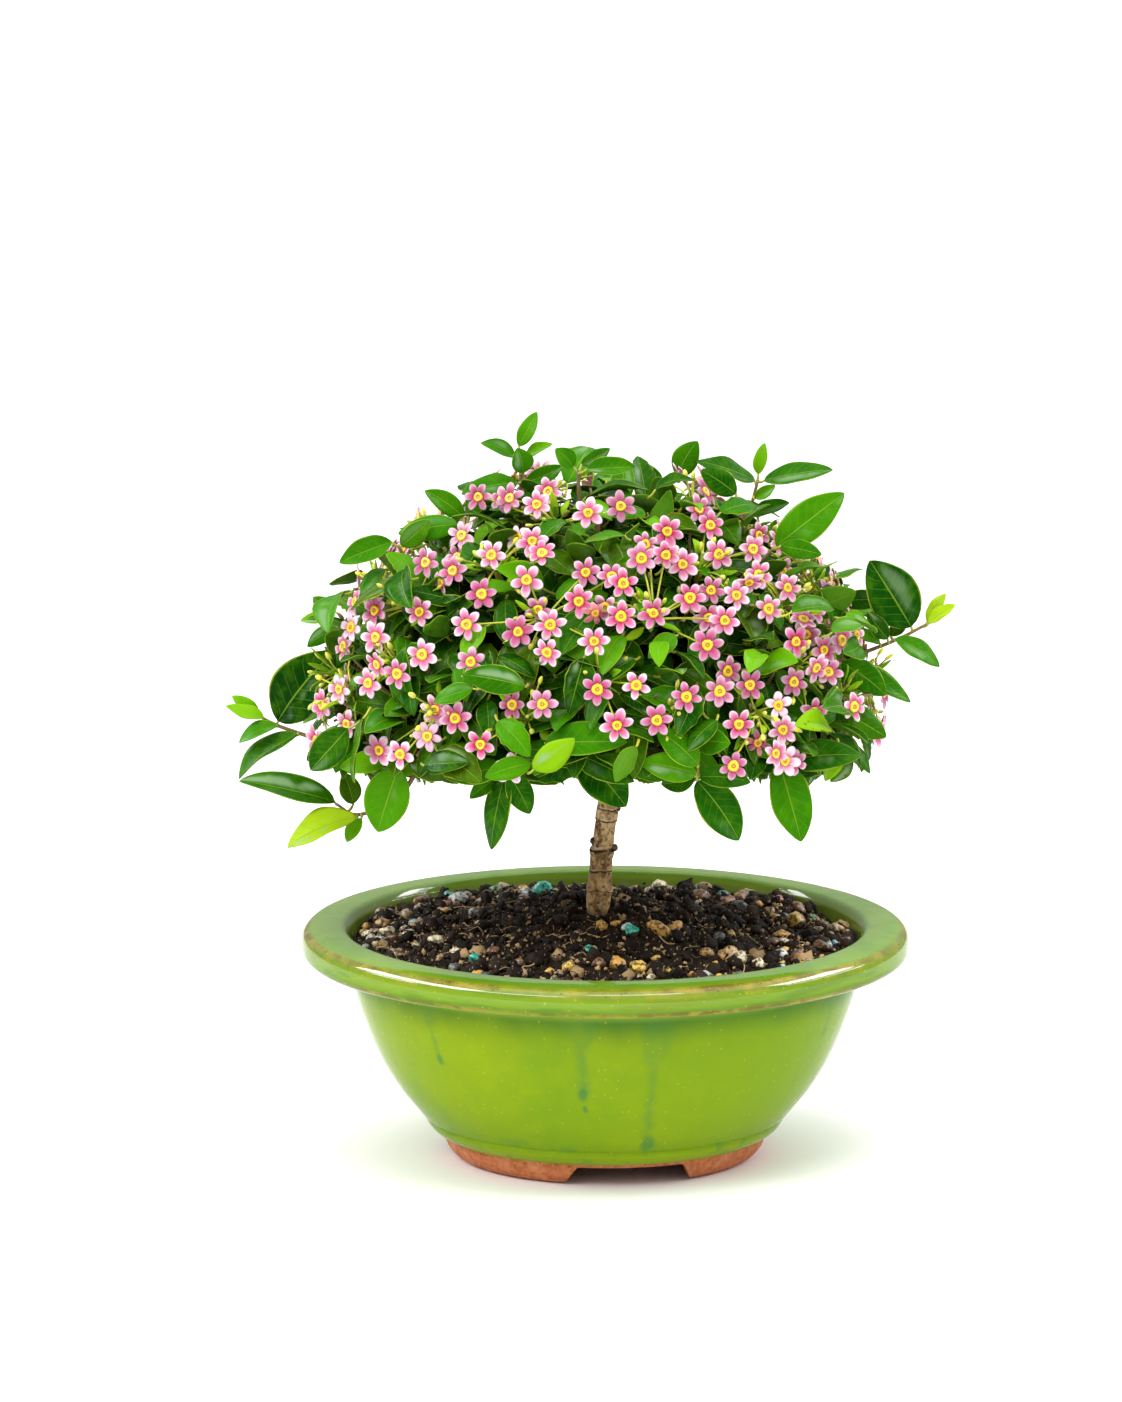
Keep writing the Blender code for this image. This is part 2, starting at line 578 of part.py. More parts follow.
def fuse(name, pieces, smooth=False):
    """Joins pieces into one body named name by one Boolean union on a collection."""
    body = pieces[0]
    body.name = name
    if len(pieces) > 1:
        group = bpy.data.collections.new(name + "_pieces")
        for piece in pieces[1:]:
            group.objects.link(piece)
        union = body.modifiers.new("union", "BOOLEAN")
        union.operation = "UNION"
        union.operand_type = "COLLECTION"
        union.collection = group
        union.solver = "MANIFOLD"
        bpy.context.view_layer.update()
        graph = bpy.context.evaluated_depsgraph_get()
        mesh = bpy.data.meshes.new_from_object(body.evaluated_get(graph))
        body.modifiers.remove(union)
        old = body.data
        body.data = mesh
        bpy.data.meshes.remove(old)
        for piece in pieces[1:]:
            bpy.data.objects.remove(piece)
        bpy.data.collections.remove(group)
    finish_mesh(body, smooth)
    return body


def tube(path, radii, sides):
    """A closed rod along a path, with flat ends square to it."""
    points, faces = [], []
    side = Vector((0, 1, 0))
    for i, spot in enumerate(path):
        ahead = (path[min(i + 1, len(path) - 1)] - path[max(i - 1, 0)]).normalized()
        side = (side - ahead * side.dot(ahead)).normalized()
        other = ahead.cross(side)
        for k in range(sides):
            turn = 2.0 * math.pi * k / sides
            points.append(spot + (side * math.cos(turn) + other * math.sin(turn)) * radii[i])
    for i in range(len(path) - 1):
        for k in range(sides):
            n = (k + 1) % sides
            faces.append((i * sides + k, i * sides + n, (i + 1) * sides + n, (i + 1) * sides + k))
    faces.append(tuple(reversed(range(sides))))
    last = (len(path) - 1) * sides
    faces.append(tuple(range(last, last + sides)))
    return new_object("rod", points, faces)


def blade(leaf, on_twig):
    """One leaf, ridged along its middle. On a twig it has a three-sided petiole, and in the dense
    inside of a spray it starts at a point well below the surface."""
    along, side, out = across_blade(leaf["tip"] - leaf["foot"], leaf["face"])
    points = [leaf["root"]]
    if on_twig:
        points = [leaf["root"] + arm * PETIOLE_RADIUS for arm in (side, -side, out)]
    left, right, top = (0, 1, 2) if on_twig else (0, 0, 0)
    first = len(points)
    for middle, half, row_side, row_out in blade_rows(leaf, (0.32, 0.72)):
        droop = row_out * (half * 0.12)
        points += [middle + row_side * half + droop, middle - row_side * half + droop]
    ridge_shares = (0.34, 0.7) if leaf["width"] > LARGE_LEAF and on_twig else (0.46,)
    for middle, half, row_side, row_out in blade_rows(leaf, ridge_shares):
        points += [middle + row_out * LEAF_THICK / 2.0, middle - row_out * LEAF_THICK / 2.0]
    points.append(leaf["tip"])
    tip = len(points) - 1
    near_left, near_right, far_left, far_right = range(first, first + 4)
    over, under = first + 4, first + 5
    over_end, under_end = (first + 6, first + 7) if len(ridge_shares) == 2 else (over, under)
    faces = [(left, near_left, over, top), (right, top, over, near_right),
             (near_left, far_left, over_end, over), (near_right, over, over_end, far_right),
             (far_left, tip, over_end), (far_right, over_end, tip), (left, under, near_left),
             (left, right, under), (right, near_right, under), (near_left, under, under_end, far_left),
             (near_right, far_right, under_end, under), (far_left, under_end, tip),
             (far_right, tip, under_end), (left, top, right)]
    corners = [tuple(dict.fromkeys(face)) for face in faces]
    thing = new_object("leaf", points, [face for face in corners if len(face) > 2])
    split_quads(thing)
    return thing


def split_quads(thing):
    """Splits four-cornered faces, so that no face is left bent."""
    work = bmesh.new()
    work.from_mesh(thing.data)
    bmesh.ops.triangulate(work, faces=work.faces)
    work.to_mesh(thing.data)
    work.free()


def crosses_itself(thing):
    """Whether faces of a mesh that share no corner cross each other."""
    points = [v.co for v in thing.data.vertices]
    faces = [tuple(p.vertices) for p in thing.data.polygons]
    tree = BVHTree.FromPolygons(points, faces)
    return any(not set(faces[a]) & set(faces[b]) for a, b in tree.overlap(tree) if a < b)


def umbel_solid(name, seat, out, blooms, height, twist):
    """One umbel: a short foot whose sides each grow into a pedicel with its bloom."""
    side, up = bloom_frame(out)
    spread = {b["order"]: b["middle"] - seat for b in blooms}
    heading = {n: math.atan2(d.dot(up), d.dot(side)) for n, d in spread.items()}
    blooms = sorted(blooms, key=lambda b: heading[b["order"]])
    count = max(len(blooms), 3)
    sector = 2.0 * math.pi / count
    drift = [heading[b["order"]] - i * sector for i, b in enumerate(blooms)]
    offset = math.atan2(sum(math.sin(d) for d in drift), sum(math.cos(d) for d in drift))
    points = []
    for i in range(count):
        turn = offset + (i - 0.5 + twist) * sector
        points.append(seat + (side * math.cos(turn) + up * math.sin(turn)) * HUB_RADIUS)
    points.append(seat + out * height)
    faces = [tuple(reversed(range(count)))]
    for i in range(count):
        root = (i, (i + 1) % count, count)
        if i < len(blooms):
            add_bloom(points, faces, blooms[i], root)
        else:
            faces.append(root)
    thing = new_object(name, points, faces)
    split_quads(thing)
    return thing


def add_bloom(points, faces, bloom, root):
    """A star of petals, thick at the disc and thin at the tips, on a pedicel from face root."""
    side, up = bloom_frame(bloom["face"])
    face, middle = bloom["face"], bloom["middle"]
    base = len(points)
    rim = PETALS * 2
    for i in range(rim):
        turn = math.radians(bloom["roll"] + 180.0 * i / PETALS)
        radius = BLOOM_RADIUS * bloom["size"] if i % 2 == 0 else BLOOM_WAIST
        lift = face * (0.5 * MM if i % 2 == 0 else 0.0)
        points.append(middle + (side * math.cos(turn) + up * math.sin(turn)) * radius + lift)
    points.append(middle + face * (BLOOM_THICK * 0.5))
    faces += [(base + i, base + (i + 1) % rim, base + rim) for i in range(rim)]
    foot = sum((points[i] for i in root), Vector()) / 3.0
    back = middle - face * (BLOOM_THICK * 0.5)
    bend = back - face * PEDICEL_BEND
    stalk = (bend - foot).normalized()
    spots = [(back, face)]
    if stalk.dot(face) < 0.8:
        spots.insert(0, (bend, (stalk + face).normalized()))
    ring = list(root)
    for spot, ahead in spots:
        arms = even_arms([points[i] - sum((points[k] for k in ring), Vector()) / 3.0 for i in ring],
                         ahead)
        upper = list(range(len(points), len(points) + 3))
        points += [spot + arm * PEDICEL_RADIUS for arm in arms]
        join_rings(faces, upper, ring)
        ring = upper
    angles = [math.degrees(math.atan2((points[i] - back).dot(up), (points[i] - back).dot(side)))
              for i in ring]
    near = []
    for i in range(rim):
        turn = bloom["roll"] + 180.0 * i / PETALS
        near.append(ring[min(range(3), key=lambda k: abs(turned(turn - angles[k])))])
    for i in range(rim):
        n = (i + 1) % rim
        faces.append((base + i, near[i], base + n))
        if near[i] != near[n]:
            faces.append((base + n, near[i], near[n]))


def even_arms(arms, ahead):
    """Three unit vectors square to ahead, 120 degrees apart, turned to match three given ones."""
    side, up = bloom_frame(ahead)
    angles = [math.atan2(a.dot(up), a.dot(side)) for a in arms]
    best = None
    for way in (1.0, -1.0):
        drift = [angle - way * k * 2.0 * math.pi / 3.0 for k, angle in enumerate(angles)]
        east, north = sum(math.cos(d) for d in drift), sum(math.sin(d) for d in drift)
        if best is None or math.hypot(east, north) > best[0]:
            best = (math.hypot(east, north), math.atan2(north, east), way)
    _, start, way = best
    turns = [start + way * k * 2.0 * math.pi / 3.0 for k in range(3)]
    return [side * math.cos(t) + up * math.sin(t) for t in turns]


def join_rings(faces, upper, lower):
    """Six triangles between two rings of three points."""
    for k in range(3):
        n = (k + 1) % 3
        faces += [(upper[k], lower[k], lower[n]), (upper[k], lower[n], upper[n])]


def brick(cell, rng):
    """The dense inside of a spray: a block of its cell between two shares of the dome."""
    middle, half, low, high = cell
    if high == 90.0:
        return cap_brick(low, rng)
    columns, rows = (3, 3) if low < 0 else (4, 2)
    points = []
    for share in (CORE_OUT, CORE_IN):
        for r in range(rows + 1):
            rise = low + (high - low) * r / rows
            for c in range(columns + 1):
                azimuth = middle + half * (2.0 * c / columns - 1.0)
                held = held_in(cell, azimuth, rise, CELL_GAP)
                rough = rng.uniform(-CORE_ROUGH, CORE_ROUGH)
                points.append(dome_point(*held, share + rough))
    wide, count = columns + 1, (columns + 1) * (rows + 1)
    faces = []
    for r in range(rows):
        for c in range(columns):
            a = r * wide + c
            faces.append((a, a + 1, a + wide + 1, a + wide))
            faces.append((count + a, count + a + wide, count + a + wide + 1, count + a + 1))
    edge = [c for c in range(wide)] + [r * wide + columns for r in range(1, rows + 1)]
    edge += [rows * wide + c for c in reversed(range(columns))]
    edge += [r * wide for r in reversed(range(1, rows))]
    for a, b in zip(edge, edge[1:] + edge[:1]):
        faces.append((a, count + a, count + b, b))
    thing = new_object("core", points, faces)
    split_quads(thing)
    return thing


def cap_brick(low, rng):
    """The inside of the topmost spray: a round cap."""
    sides, rows = 10, 2
    points = []
    for share in (CORE_OUT, CORE_IN + 0.1):
        for r in range(rows):
            rise = low + math.degrees(CELL_GAP / DOME_HIGH) + (90.0 - low) * r / rows
            for k in range(sides):
                rough = rng.uniform(-CORE_ROUGH, CORE_ROUGH)
                points.append(dome_point(360.0 * k / sides, rise, share + rough))
        points.append(dome_point(0.0, 90.0, share))
    layer = rows * sides + 1
    faces = []
    for base in (0, layer):
        for k in range(sides):
            n = (k + 1) % sides
            faces.append((base + k, base + n, base + sides + n, base + sides + k))
            faces.append((base + sides + k, base + sides + n, base + layer - 1))
    for k in range(sides):
        n = (k + 1) % sides
        faces.append((k, n, layer + n, layer + k))
    thing = new_object("core", points, faces)
    split_quads(thing)
    return thing


def stem_ends(cell):
    """Where a branch meets its spray's stem, and where that stem ends inside the spray."""
    middle, half, low, high = cell
    if high == 90.0:
        return dome_point(0.0, 90.0, 0.5), dome_point(0.0, 90.0, 0.72)
    rise = 2.0 if low < 0 else 0.5 * (low + high)
    return dome_point(middle, rise, 0.47), dome_point(middle, rise, 0.62)


def make_pot():
    """The pot: a turned profile with three notches cut in its foot ring."""
    profile = [vec((r, 0, z)) for r, z in POT_OUTSIDE + POT_INSIDE]
    points, faces = [], []
    for k in range(POT_SIDES):
        turn = Matrix.Rotation(2.0 * math.pi * k / POT_SIDES, 3, "Z")
        points += [turn @ p for p in profile]
    count = len(profile)
    for k in range(POT_SIDES):
        n = (k + 1) % POT_SIDES
        for i in range(count):
            j = (i + 1) % count
            faces.append((k * count + i, n * count + i, n * count + j, k * count + j))
    pot = new_object("pot", points, faces)
    for middle in NOTCH_MIDDLES:
        cutter = notch_cutter(middle)
        cut = pot.modifiers.new("notch", "BOOLEAN")
        cut.operation = "DIFFERENCE"
        cut.object = cutter
    bpy.context.view_layer.update()
    graph = bpy.context.evaluated_depsgraph_get()
    mesh = bpy.data.meshes.new_from_object(pot.evaluated_get(graph))
    pot.modifiers.clear()
    pot.data = mesh
    for cutter in [o for o in bpy.data.objects if o.name.startswith("notch")]:
        bpy.data.objects.remove(cutter)
    finish_mesh(pot, True)
    return pot


def notch_cutter(middle):
    """A wedge that opens the foot ring, wider at the floor than at its top."""
    points, faces = [], []
    levels = ((-1.0 * MM, NOTCH_HALF_ANGLE + NOTCH_SLANT), (NOTCH_TOP, NOTCH_HALF_ANGLE))
    for radius in NOTCH_RADII:
        for height, half in levels:
            for share in (-1.0, -0.33, 0.33, 1.0):
                turn = math.radians(middle + half * share)
                points.append(Vector((radius * math.sin(turn), -radius * math.cos(turn), height)))
    for i in range(3):
        faces.append((i, i + 1, i + 5, i + 4))
        faces.append((8 + i, 12 + i, 13 + i, 9 + i))
        faces.append((i, 8 + i, 9 + i, i + 1))
        faces.append((4 + i, 5 + i, 13 + i, 12 + i))
    faces += [(0, 4, 12, 8), (3, 11, 15, 7)]
    cutter = new_object("notch", points, faces)
    cutter.hide_render = True
    cutter.display_type = "WIRE"
    return cutter


def soil_height(radius, rng):
    """The soil's height at a radius: a low mound with clods on it."""
    share = min(radius / (SOIL_WALL[0][0] * MM), 1.0)
    mound = SOIL_EDGE + (SOIL_CROWN - SOIL_EDGE) * (1.0 - share ** 1.6)
    return mound + rng.uniform(-SOIL_CLODS, SOIL_CLODS)


def make_soil():
    """The soil: a cloddy top, a side that follows the pot's wall, gravel, and the trunk's hole."""
    rng = random.Random(5)
    points, faces = [], []
    top = SOIL_WALL[0][0] * MM
    rings = [top] + [top * (SOIL_RINGS - i) / (SOIL_RINGS + 0.6) for i in range(SOIL_RINGS)]
    profile = [(r * MM, z * MM) for r, z in reversed(SOIL_WALL)]
    for radius, height in profile:
        for k in range(POT_SIDES):
            turn = 2.0 * math.pi * k / POT_SIDES
            points.append(Vector((radius * math.cos(turn), radius * math.sin(turn), height)))
    for radius in rings[1:]:
        for k in range(POT_SIDES):
            turn = 2.0 * math.pi * k / POT_SIDES
            points.append(Vector((radius * math.cos(turn), radius * math.sin(turn),
                                  soil_height(radius, rng))))
    bands = len(points) // POT_SIDES
    for band in range(bands - 1):
        for k in range(POT_SIDES):
            n = (k + 1) % POT_SIDES
            a, b = band * POT_SIDES, (band + 1) * POT_SIDES
            faces.append((a + k, a + n, b + n, b + k))
    faces.append(tuple(reversed(range(POT_SIDES))))
    last = (bands - 1) * POT_SIDES
    points.append(Vector((0, 0, SOIL_CROWN)))
    for k in range(POT_SIDES):
        faces.append((last + k, last + (k + 1) % POT_SIDES, len(points) - 1))
    soil = new_object("soil", points, faces)
    split_quads(soil)
    pieces = [soil]
    surface = BVHTree.FromObject(soil, bpy.context.evaluated_depsgraph_get())
    spots = []
    while len(spots) < GRAVEL:
        radius = GRAVEL_REACH * math.sqrt(rng.random())
        turn = rng.uniform(0.0, 2.0 * math.pi)
        spot = Vector((radius * math.cos(turn), radius * math.sin(turn), 0.1))
        near_trunk = (spot.xy - vec(TRUNK[2][0]).xy).length < GRAVEL_FROM_TRUNK
        if near_trunk or any((s - spot.xy).length < GRAVEL_APART for s in spots):
            continue
        spots.append(spot.xy)
        ground = surface.ray_cast(spot, Vector((0, 0, -1)))[0]
        pieces.append(pebble(ground, rng.uniform(*GRAVEL_SIZE), rng))
    soil = fuse("soil", pieces)
    path = [vec(TRUNK[1][0]), vec(TRUNK[1][0])]
    path[0].z, path[1].z = SOIL_HOLE_FOOT, 80.0 * MM
    drill = tube(path, [SOIL_HOLE_RADIUS] * 2, 12)
    drill.hide_render = True
    drill.display_type = "WIRE"
    cut = soil.modifiers.new("hole", "BOOLEAN")
    cut.operation = "DIFFERENCE"
    cut.object = drill
    bpy.context.view_layer.update()
    graph = bpy.context.evaluated_depsgraph_get()
    mesh = bpy.data.meshes.new_from_object(soil.evaluated_get(graph))
    soil.modifiers.clear()
    soil.data = mesh
    bpy.data.objects.remove(drill)
    finish_mesh(soil, False)
    return soil


def pebble(ground, size, rng):
    """A stone with twenty faces, flattened and half sunk."""
    work = bmesh.new()
    bmesh.ops.create_icosphere(work, subdivisions=1, radius=size)
    turn = Matrix.Rotation(rng.uniform(0.0, 2.0 * math.pi), 3, "Z")
    flat = Matrix.Diagonal((rng.uniform(0.8, 1.15), 1.0, rng.uniform(0.6, 0.85)))
    for vertex in work.verts:
        vertex.co = ground + Vector((0, 0, size * 0.25)) + turn @ (flat @ vertex.co)
    mesh = bpy.data.meshes.new("pebble")
    work.to_mesh(mesh)
    work.free()
    thing = bpy.data.objects.new("pebble", mesh)
    bpy.context.scene.collection.objects.link(thing)
    return thing


def make_trunk(cells):
    """The trunk, its leader and a branch to each spray, grown as one piece."""
    path = [vec(p) for p, _ in TRUNK]
    radii = [r * MM for _, r in TRUNK]
    pieces = [tube(path, radii, TRUNK_SIDES)]
    for foot, way in KNOBS:
        foot, way = vec(foot), Vector(way).normalized()
        pieces.append(tube([foot, foot + way * KNOB_LENGTH], [KNOB_RADIUS, KNOB_RADIUS * 0.8], 5))
    for name, cell in cells.items():
        meet, inside = stem_ends(cell)
        low_one = name.startswith("spray_low")
        height = 104.0 + (turned(cell[0]) % 40.0) * 0.2 if low_one else 128.0
        start = on_trunk(height)
        if name == "spray_top":
            start = vec(TRUNK[-1][0]) - Vector((0, 0, 3.0 * MM))
        ahead = (inside - meet).normalized()
        bend = meet - ahead * (6.0 * MM)
        middle = start.lerp(bend, 0.5) - Vector((0, 0, 1.5 * MM if low_one else 0.0))
        thick = 1.7 * MM if low_one else 1.35 * MM
        radii = [thick, thick * 0.9, thick * 0.8, thick * 0.72]
        pieces.append(tube([start, middle, bend, meet], radii, BRANCH_SIDES))
    return fuse("trunk", pieces, smooth=True)


def on_trunk(height):
    """The trunk's middle at a height in millimetres."""
    for (a, _), (b, _) in zip(TRUNK, TRUNK[1:]):
        if a[2] <= height <= b[2]:
            return vec(a).lerp(vec(b), (height - a[2]) / (b[2] - a[2]))
    return vec(TRUNK[-1][0])


def make_sprays(layout):
    """One node for each spray: stem, dense inside, twigs and leaves."""
    rng = random.Random(7)
    sprays = {}
    cores = {}
    for name, cell in layout["cells"].items():
        core = brick(cell, rng)
        cores[name] = BVHTree.FromObject(core, bpy.context.evaluated_depsgraph_get())
        meet, inside = stem_ends(cell)
        start = meet + (inside - meet).normalized() * GAP
        thick = 1.2 * MM if name.startswith("spray_low") else 0.95 * MM
        pieces = [core, tube([start, inside], [thick, thick], BRANCH_SIDES)]
        for shoot in layout["shoots"]:
            if shoot["spray"] != name:
                continue
            twig = shoot["twig"]
            radii = [TWIG_RADIUS * (1.25 - 0.5 * i / (len(twig) - 1)) for i in range(len(twig))]
            pieces.append(tube(twig, radii, 4))
            pieces += [blade(leaf, True) for leaf in shoot["leaves"]]
        pieces += [blade(leaf, False) for leaf in layout["leaves"][name]]
        sprays[name] = fuse(name, pieces)
    return sprays, cores


def make_umbels(layout, cores):
    """One node for each umbel: a short stalk on the spray, and its blooms on their pedicels."""
    umbels = {}
    for name, (spray, azimuth, rise) in layout["umbels"].items():
        own = [b for b in layout["blooms"] if b["umbel"] == name]
        if not own:
            continue
        out = dome_normal(layout["feet"][name])
        seat, normal = cores[spray].ray_cast(layout["feet"][name] + out * 0.01, -out)[:2]
        for height, twist in itertools.product(HUB_HEIGHTS, UMBEL_TWISTS):
            umbel = umbel_solid(name, seat + normal * GAP, normal, own, height, twist)
            if not crosses_itself(umbel):
                umbels[name] = umbel
                break
            bpy.data.objects.remove(umbel)
    return umbels


def paint(thing, name, colour, roughness, metallic=0.0):
    """Gives an object its own Principled material."""
    material = bpy.data.materials.new(name)
    material.use_nodes = True
    shader = material.node_tree.nodes["Principled BSDF"]
    shader.inputs["Base Color"].default_value = (*colour, 1.0)
    shader.inputs["Roughness"].default_value = roughness
    shader.inputs["Metallic"].default_value = metallic
    material.diffuse_color = (*colour, 1.0)
    thing.data.materials.clear()
    thing.data.materials.append(material)


def main():
    for thing in list(bpy.data.objects):
        bpy.data.objects.remove(thing)
    layout = crown_layout()
    paint(make_pot(), "green_glaze", (0.30, 0.50, 0.03), 0.15)
    paint(make_soil(), "potting_soil", (0.035, 0.022, 0.014), 0.95)
    paint(make_trunk(layout["cells"]), "bark", (0.20, 0.14, 0.09), 0.8)
    sprays, cores = make_sprays(layout)
    for name, spray in sprays.items():
        paint(spray, name + "_leaf", (0.06, 0.22, 0.025), 0.35)
    for name, umbel in make_umbels(layout, cores).items():
        paint(umbel, name + "_petal", (0.80, 0.30, 0.42), 0.5)
    for thing in bpy.data.objects:
        thing.location = POT_OFFSET


main()
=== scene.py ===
"""The flowering Barbados cherry bonsai in its glazed pot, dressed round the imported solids.

Everything is laid out round the pot's axis, in metres, and each piece is then moved to the pot's
place in the frame. The crown follows the same rule and the same seeded draws as the solids, so each
fine leaf and bloom stands where its solid one stands; smaller leaves, buds and twigs fill in.
"""
import math
import random

import bmesh
import bpy
import numpy as np
from mathutils import Matrix, Vector, noise


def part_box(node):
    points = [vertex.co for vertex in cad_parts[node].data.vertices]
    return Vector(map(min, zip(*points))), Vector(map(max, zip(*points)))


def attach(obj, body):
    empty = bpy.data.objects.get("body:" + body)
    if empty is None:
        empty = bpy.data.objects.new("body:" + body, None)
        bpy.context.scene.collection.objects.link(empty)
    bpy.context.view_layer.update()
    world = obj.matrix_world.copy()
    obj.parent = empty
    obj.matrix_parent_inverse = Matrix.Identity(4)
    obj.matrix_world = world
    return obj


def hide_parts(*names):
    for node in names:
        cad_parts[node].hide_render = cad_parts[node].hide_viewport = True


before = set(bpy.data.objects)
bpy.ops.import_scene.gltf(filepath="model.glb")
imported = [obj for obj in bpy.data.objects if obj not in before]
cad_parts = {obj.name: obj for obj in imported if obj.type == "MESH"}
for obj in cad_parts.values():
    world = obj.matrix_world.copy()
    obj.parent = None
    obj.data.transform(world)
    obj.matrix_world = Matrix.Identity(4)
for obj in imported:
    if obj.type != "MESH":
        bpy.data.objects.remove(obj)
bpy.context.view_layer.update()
pot_low, pot_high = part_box("pot")
SHIFT = Vector(((pot_low[0] + pot_high[0]) / 2.0, (pot_low[1] + pot_high[1]) / 2.0, 0.0))

MM = 0.001
NO_MARK = (0.0, 0.0, 0.0)

# Soil, the trunk's foot, and the notches of the foot ring, in metres and degrees.
SOIL_EDGE = 58.3 * MM
SOIL_CROWN = 65.0 * MM
SOIL_RADIUS = 68.1 * MM
SOIL_SIDES = 190
SOIL_RINGS = np.concatenate([[0.0008], np.linspace(0.002, 0.0683, 58)])
# The soil's rings below its surface: radius and height in mm.
SOIL_BELOW = [(67.0, 53.0), (58.1, 30.2), (41.8, 13.6), (1.0, 13.4)]
TRUNK_FOOT = (-2.1 * MM, 5.8 * MM)
NOTCH_MIDDLES = (9.25, 129.25, 249.25)
NOTCH_HALF_ANGLE = 20.75
NOTCH_TOP = 5.5 * MM

# Colours, linear.
LEAF_DEEP = (0.002, 0.032, 0.001)
LEAF_DARK = (0.005, 0.066, 0.001)
LEAF_MID = (0.032, 0.176, 0.001)
LEAF_BRIGHT = (0.132, 0.375, 0.002)
LEAF_YOUNG = (0.330, 0.500, 0.008)
LEAF_VEIN = (0.220, 0.360, 0.030)
LEAF_EDGE = (0.330, 0.420, 0.030)
LEAF_UNDER = (0.095, 0.235, 0.012)
# Painted sheen: pale patches that stand in for a highlight on the leaves.
LEAF_PAINTED_SHEEN = (0.260, 0.390, 0.200)
LEAF_RUST = (0.131, 0.049, 0.008)
PETAL_CLAW = (0.460, 0.018, 0.100)
PETAL_MID = (0.600, 0.150, 0.300)
PETAL_TIP = (0.930, 0.700, 0.790)
PETAL_BACK = (0.700, 0.400, 0.450)
PETAL_WILT = (0.250, 0.045, 0.080)
PETAL_RUST = (0.600, 0.210, 0.140)
# Darker mauve, painted on some blooms as shade.
PETAL_PAINTED_SHADE = (0.290, 0.055, 0.150)
DISC_YELLOW = (0.920, 0.720, 0.014)
DISC_GOLD = (0.780, 0.460, 0.008)
DISC_ORANGE = (0.400, 0.100, 0.006)
STEM_GREEN = (0.260, 0.410, 0.017)
STEM_YELLOW = (0.640, 0.640, 0.023)
STEM_BROWN = (0.085, 0.042, 0.020)
STEM_RED = (0.160, 0.060, 0.028)
BUD_CREAM = (0.700, 0.640, 0.130)
BARK_DARK = (0.120, 0.068, 0.030)
BARK_MID = (0.430, 0.240, 0.090)
BARK_TAN = (0.880, 0.600, 0.300)
BARK_FLECK = (0.920, 0.740, 0.480)
BARK_PIT = (0.045, 0.023, 0.010)
BARK_WARM = (0.330, 0.150, 0.035)
BARK_PAINTED_SHADE = (0.123, 0.078, 0.039)
GLAZE_MAIN = (0.211, 0.316, 0.002)
GLAZE_YELLOW = (0.254, 0.348, 0.003)
GLAZE_DEEP = (0.139, 0.266, 0.005)
# Dark green: pooled glaze in streaks, and painted shade under the rim and at its edges.
GLAZE_POOL_AND_SHADE = (0.050, 0.148, 0.008)
GLAZE_DRIP = (0.041, 0.176, 0.037)
GLAZE_INSIDE = (0.265, 0.370, 0.045)
GLAZE_OLIVE = (0.140, 0.190, 0.006)
GLAZE_BREAK = (0.156, 0.086, 0.010)
GLAZE_GOLD = (0.328, 0.246, 0.025)
GLAZE_SPECK = (0.037, 0.025, 0.008)
GLAZE_PALE = (0.393, 0.475, 0.049)
RIM_SAGE = (0.197, 0.352, 0.029)
RIM_GREEN = (0.131, 0.287, 0.012)
CLAY_MAIN = (0.540, 0.180, 0.070)
CLAY_DARK = (0.400, 0.115, 0.040)
CLAY_PALE = (0.680, 0.320, 0.170)
# Dark stains on the clay, also painted as shade under the pot.
CLAY_STAIN_AND_SHADE = (0.130, 0.045, 0.018)
SOIL_BLACK = (0.005, 0.003, 0.002)
SOIL_BROWN = (0.018, 0.010, 0.005)
SOIL_RED = (0.050, 0.026, 0.012)
SOIL_TAN = (0.600, 0.400, 0.190)
STONE_PALE = (0.760, 0.680, 0.520)
SHADE_BLACK = (0.003, 0.005, 0.002)
SHADE_GREEN = (0.018, 0.025, 0.006)
FLOOR_GREY = (0.955, 0.943, 0.955)
FLOOR_PALE = (0.980, 0.968, 0.980)
STONES = {
    "ochre": (0.640, 0.330, 0.060), "teal": (0.010, 0.400, 0.290), "turquoise": (0.080, 0.640, 0.520),
    "blue": (0.300, 0.520, 0.600), "grey": (0.560, 0.570, 0.530), "tan": (0.440, 0.300, 0.160),
    "cream": (0.760, 0.660, 0.430), "brown": (0.200, 0.090, 0.035), "green": (0.040, 0.170, 0.060),
    "yellow": (0.640, 0.400, 0.050), "rust": (0.330, 0.090, 0.025), "slate": (0.090, 0.100, 0.095),
}
STONE_COUNT, STONE_TRIES = 270, 4000
# How common each colour is among the other stones, in the order of STONES.
STONE_CHANCES = [8, 1.8, 0.6, 0.6, 2.0, 8, 5, 8, 1.4, 3.5, 4, 1.5]
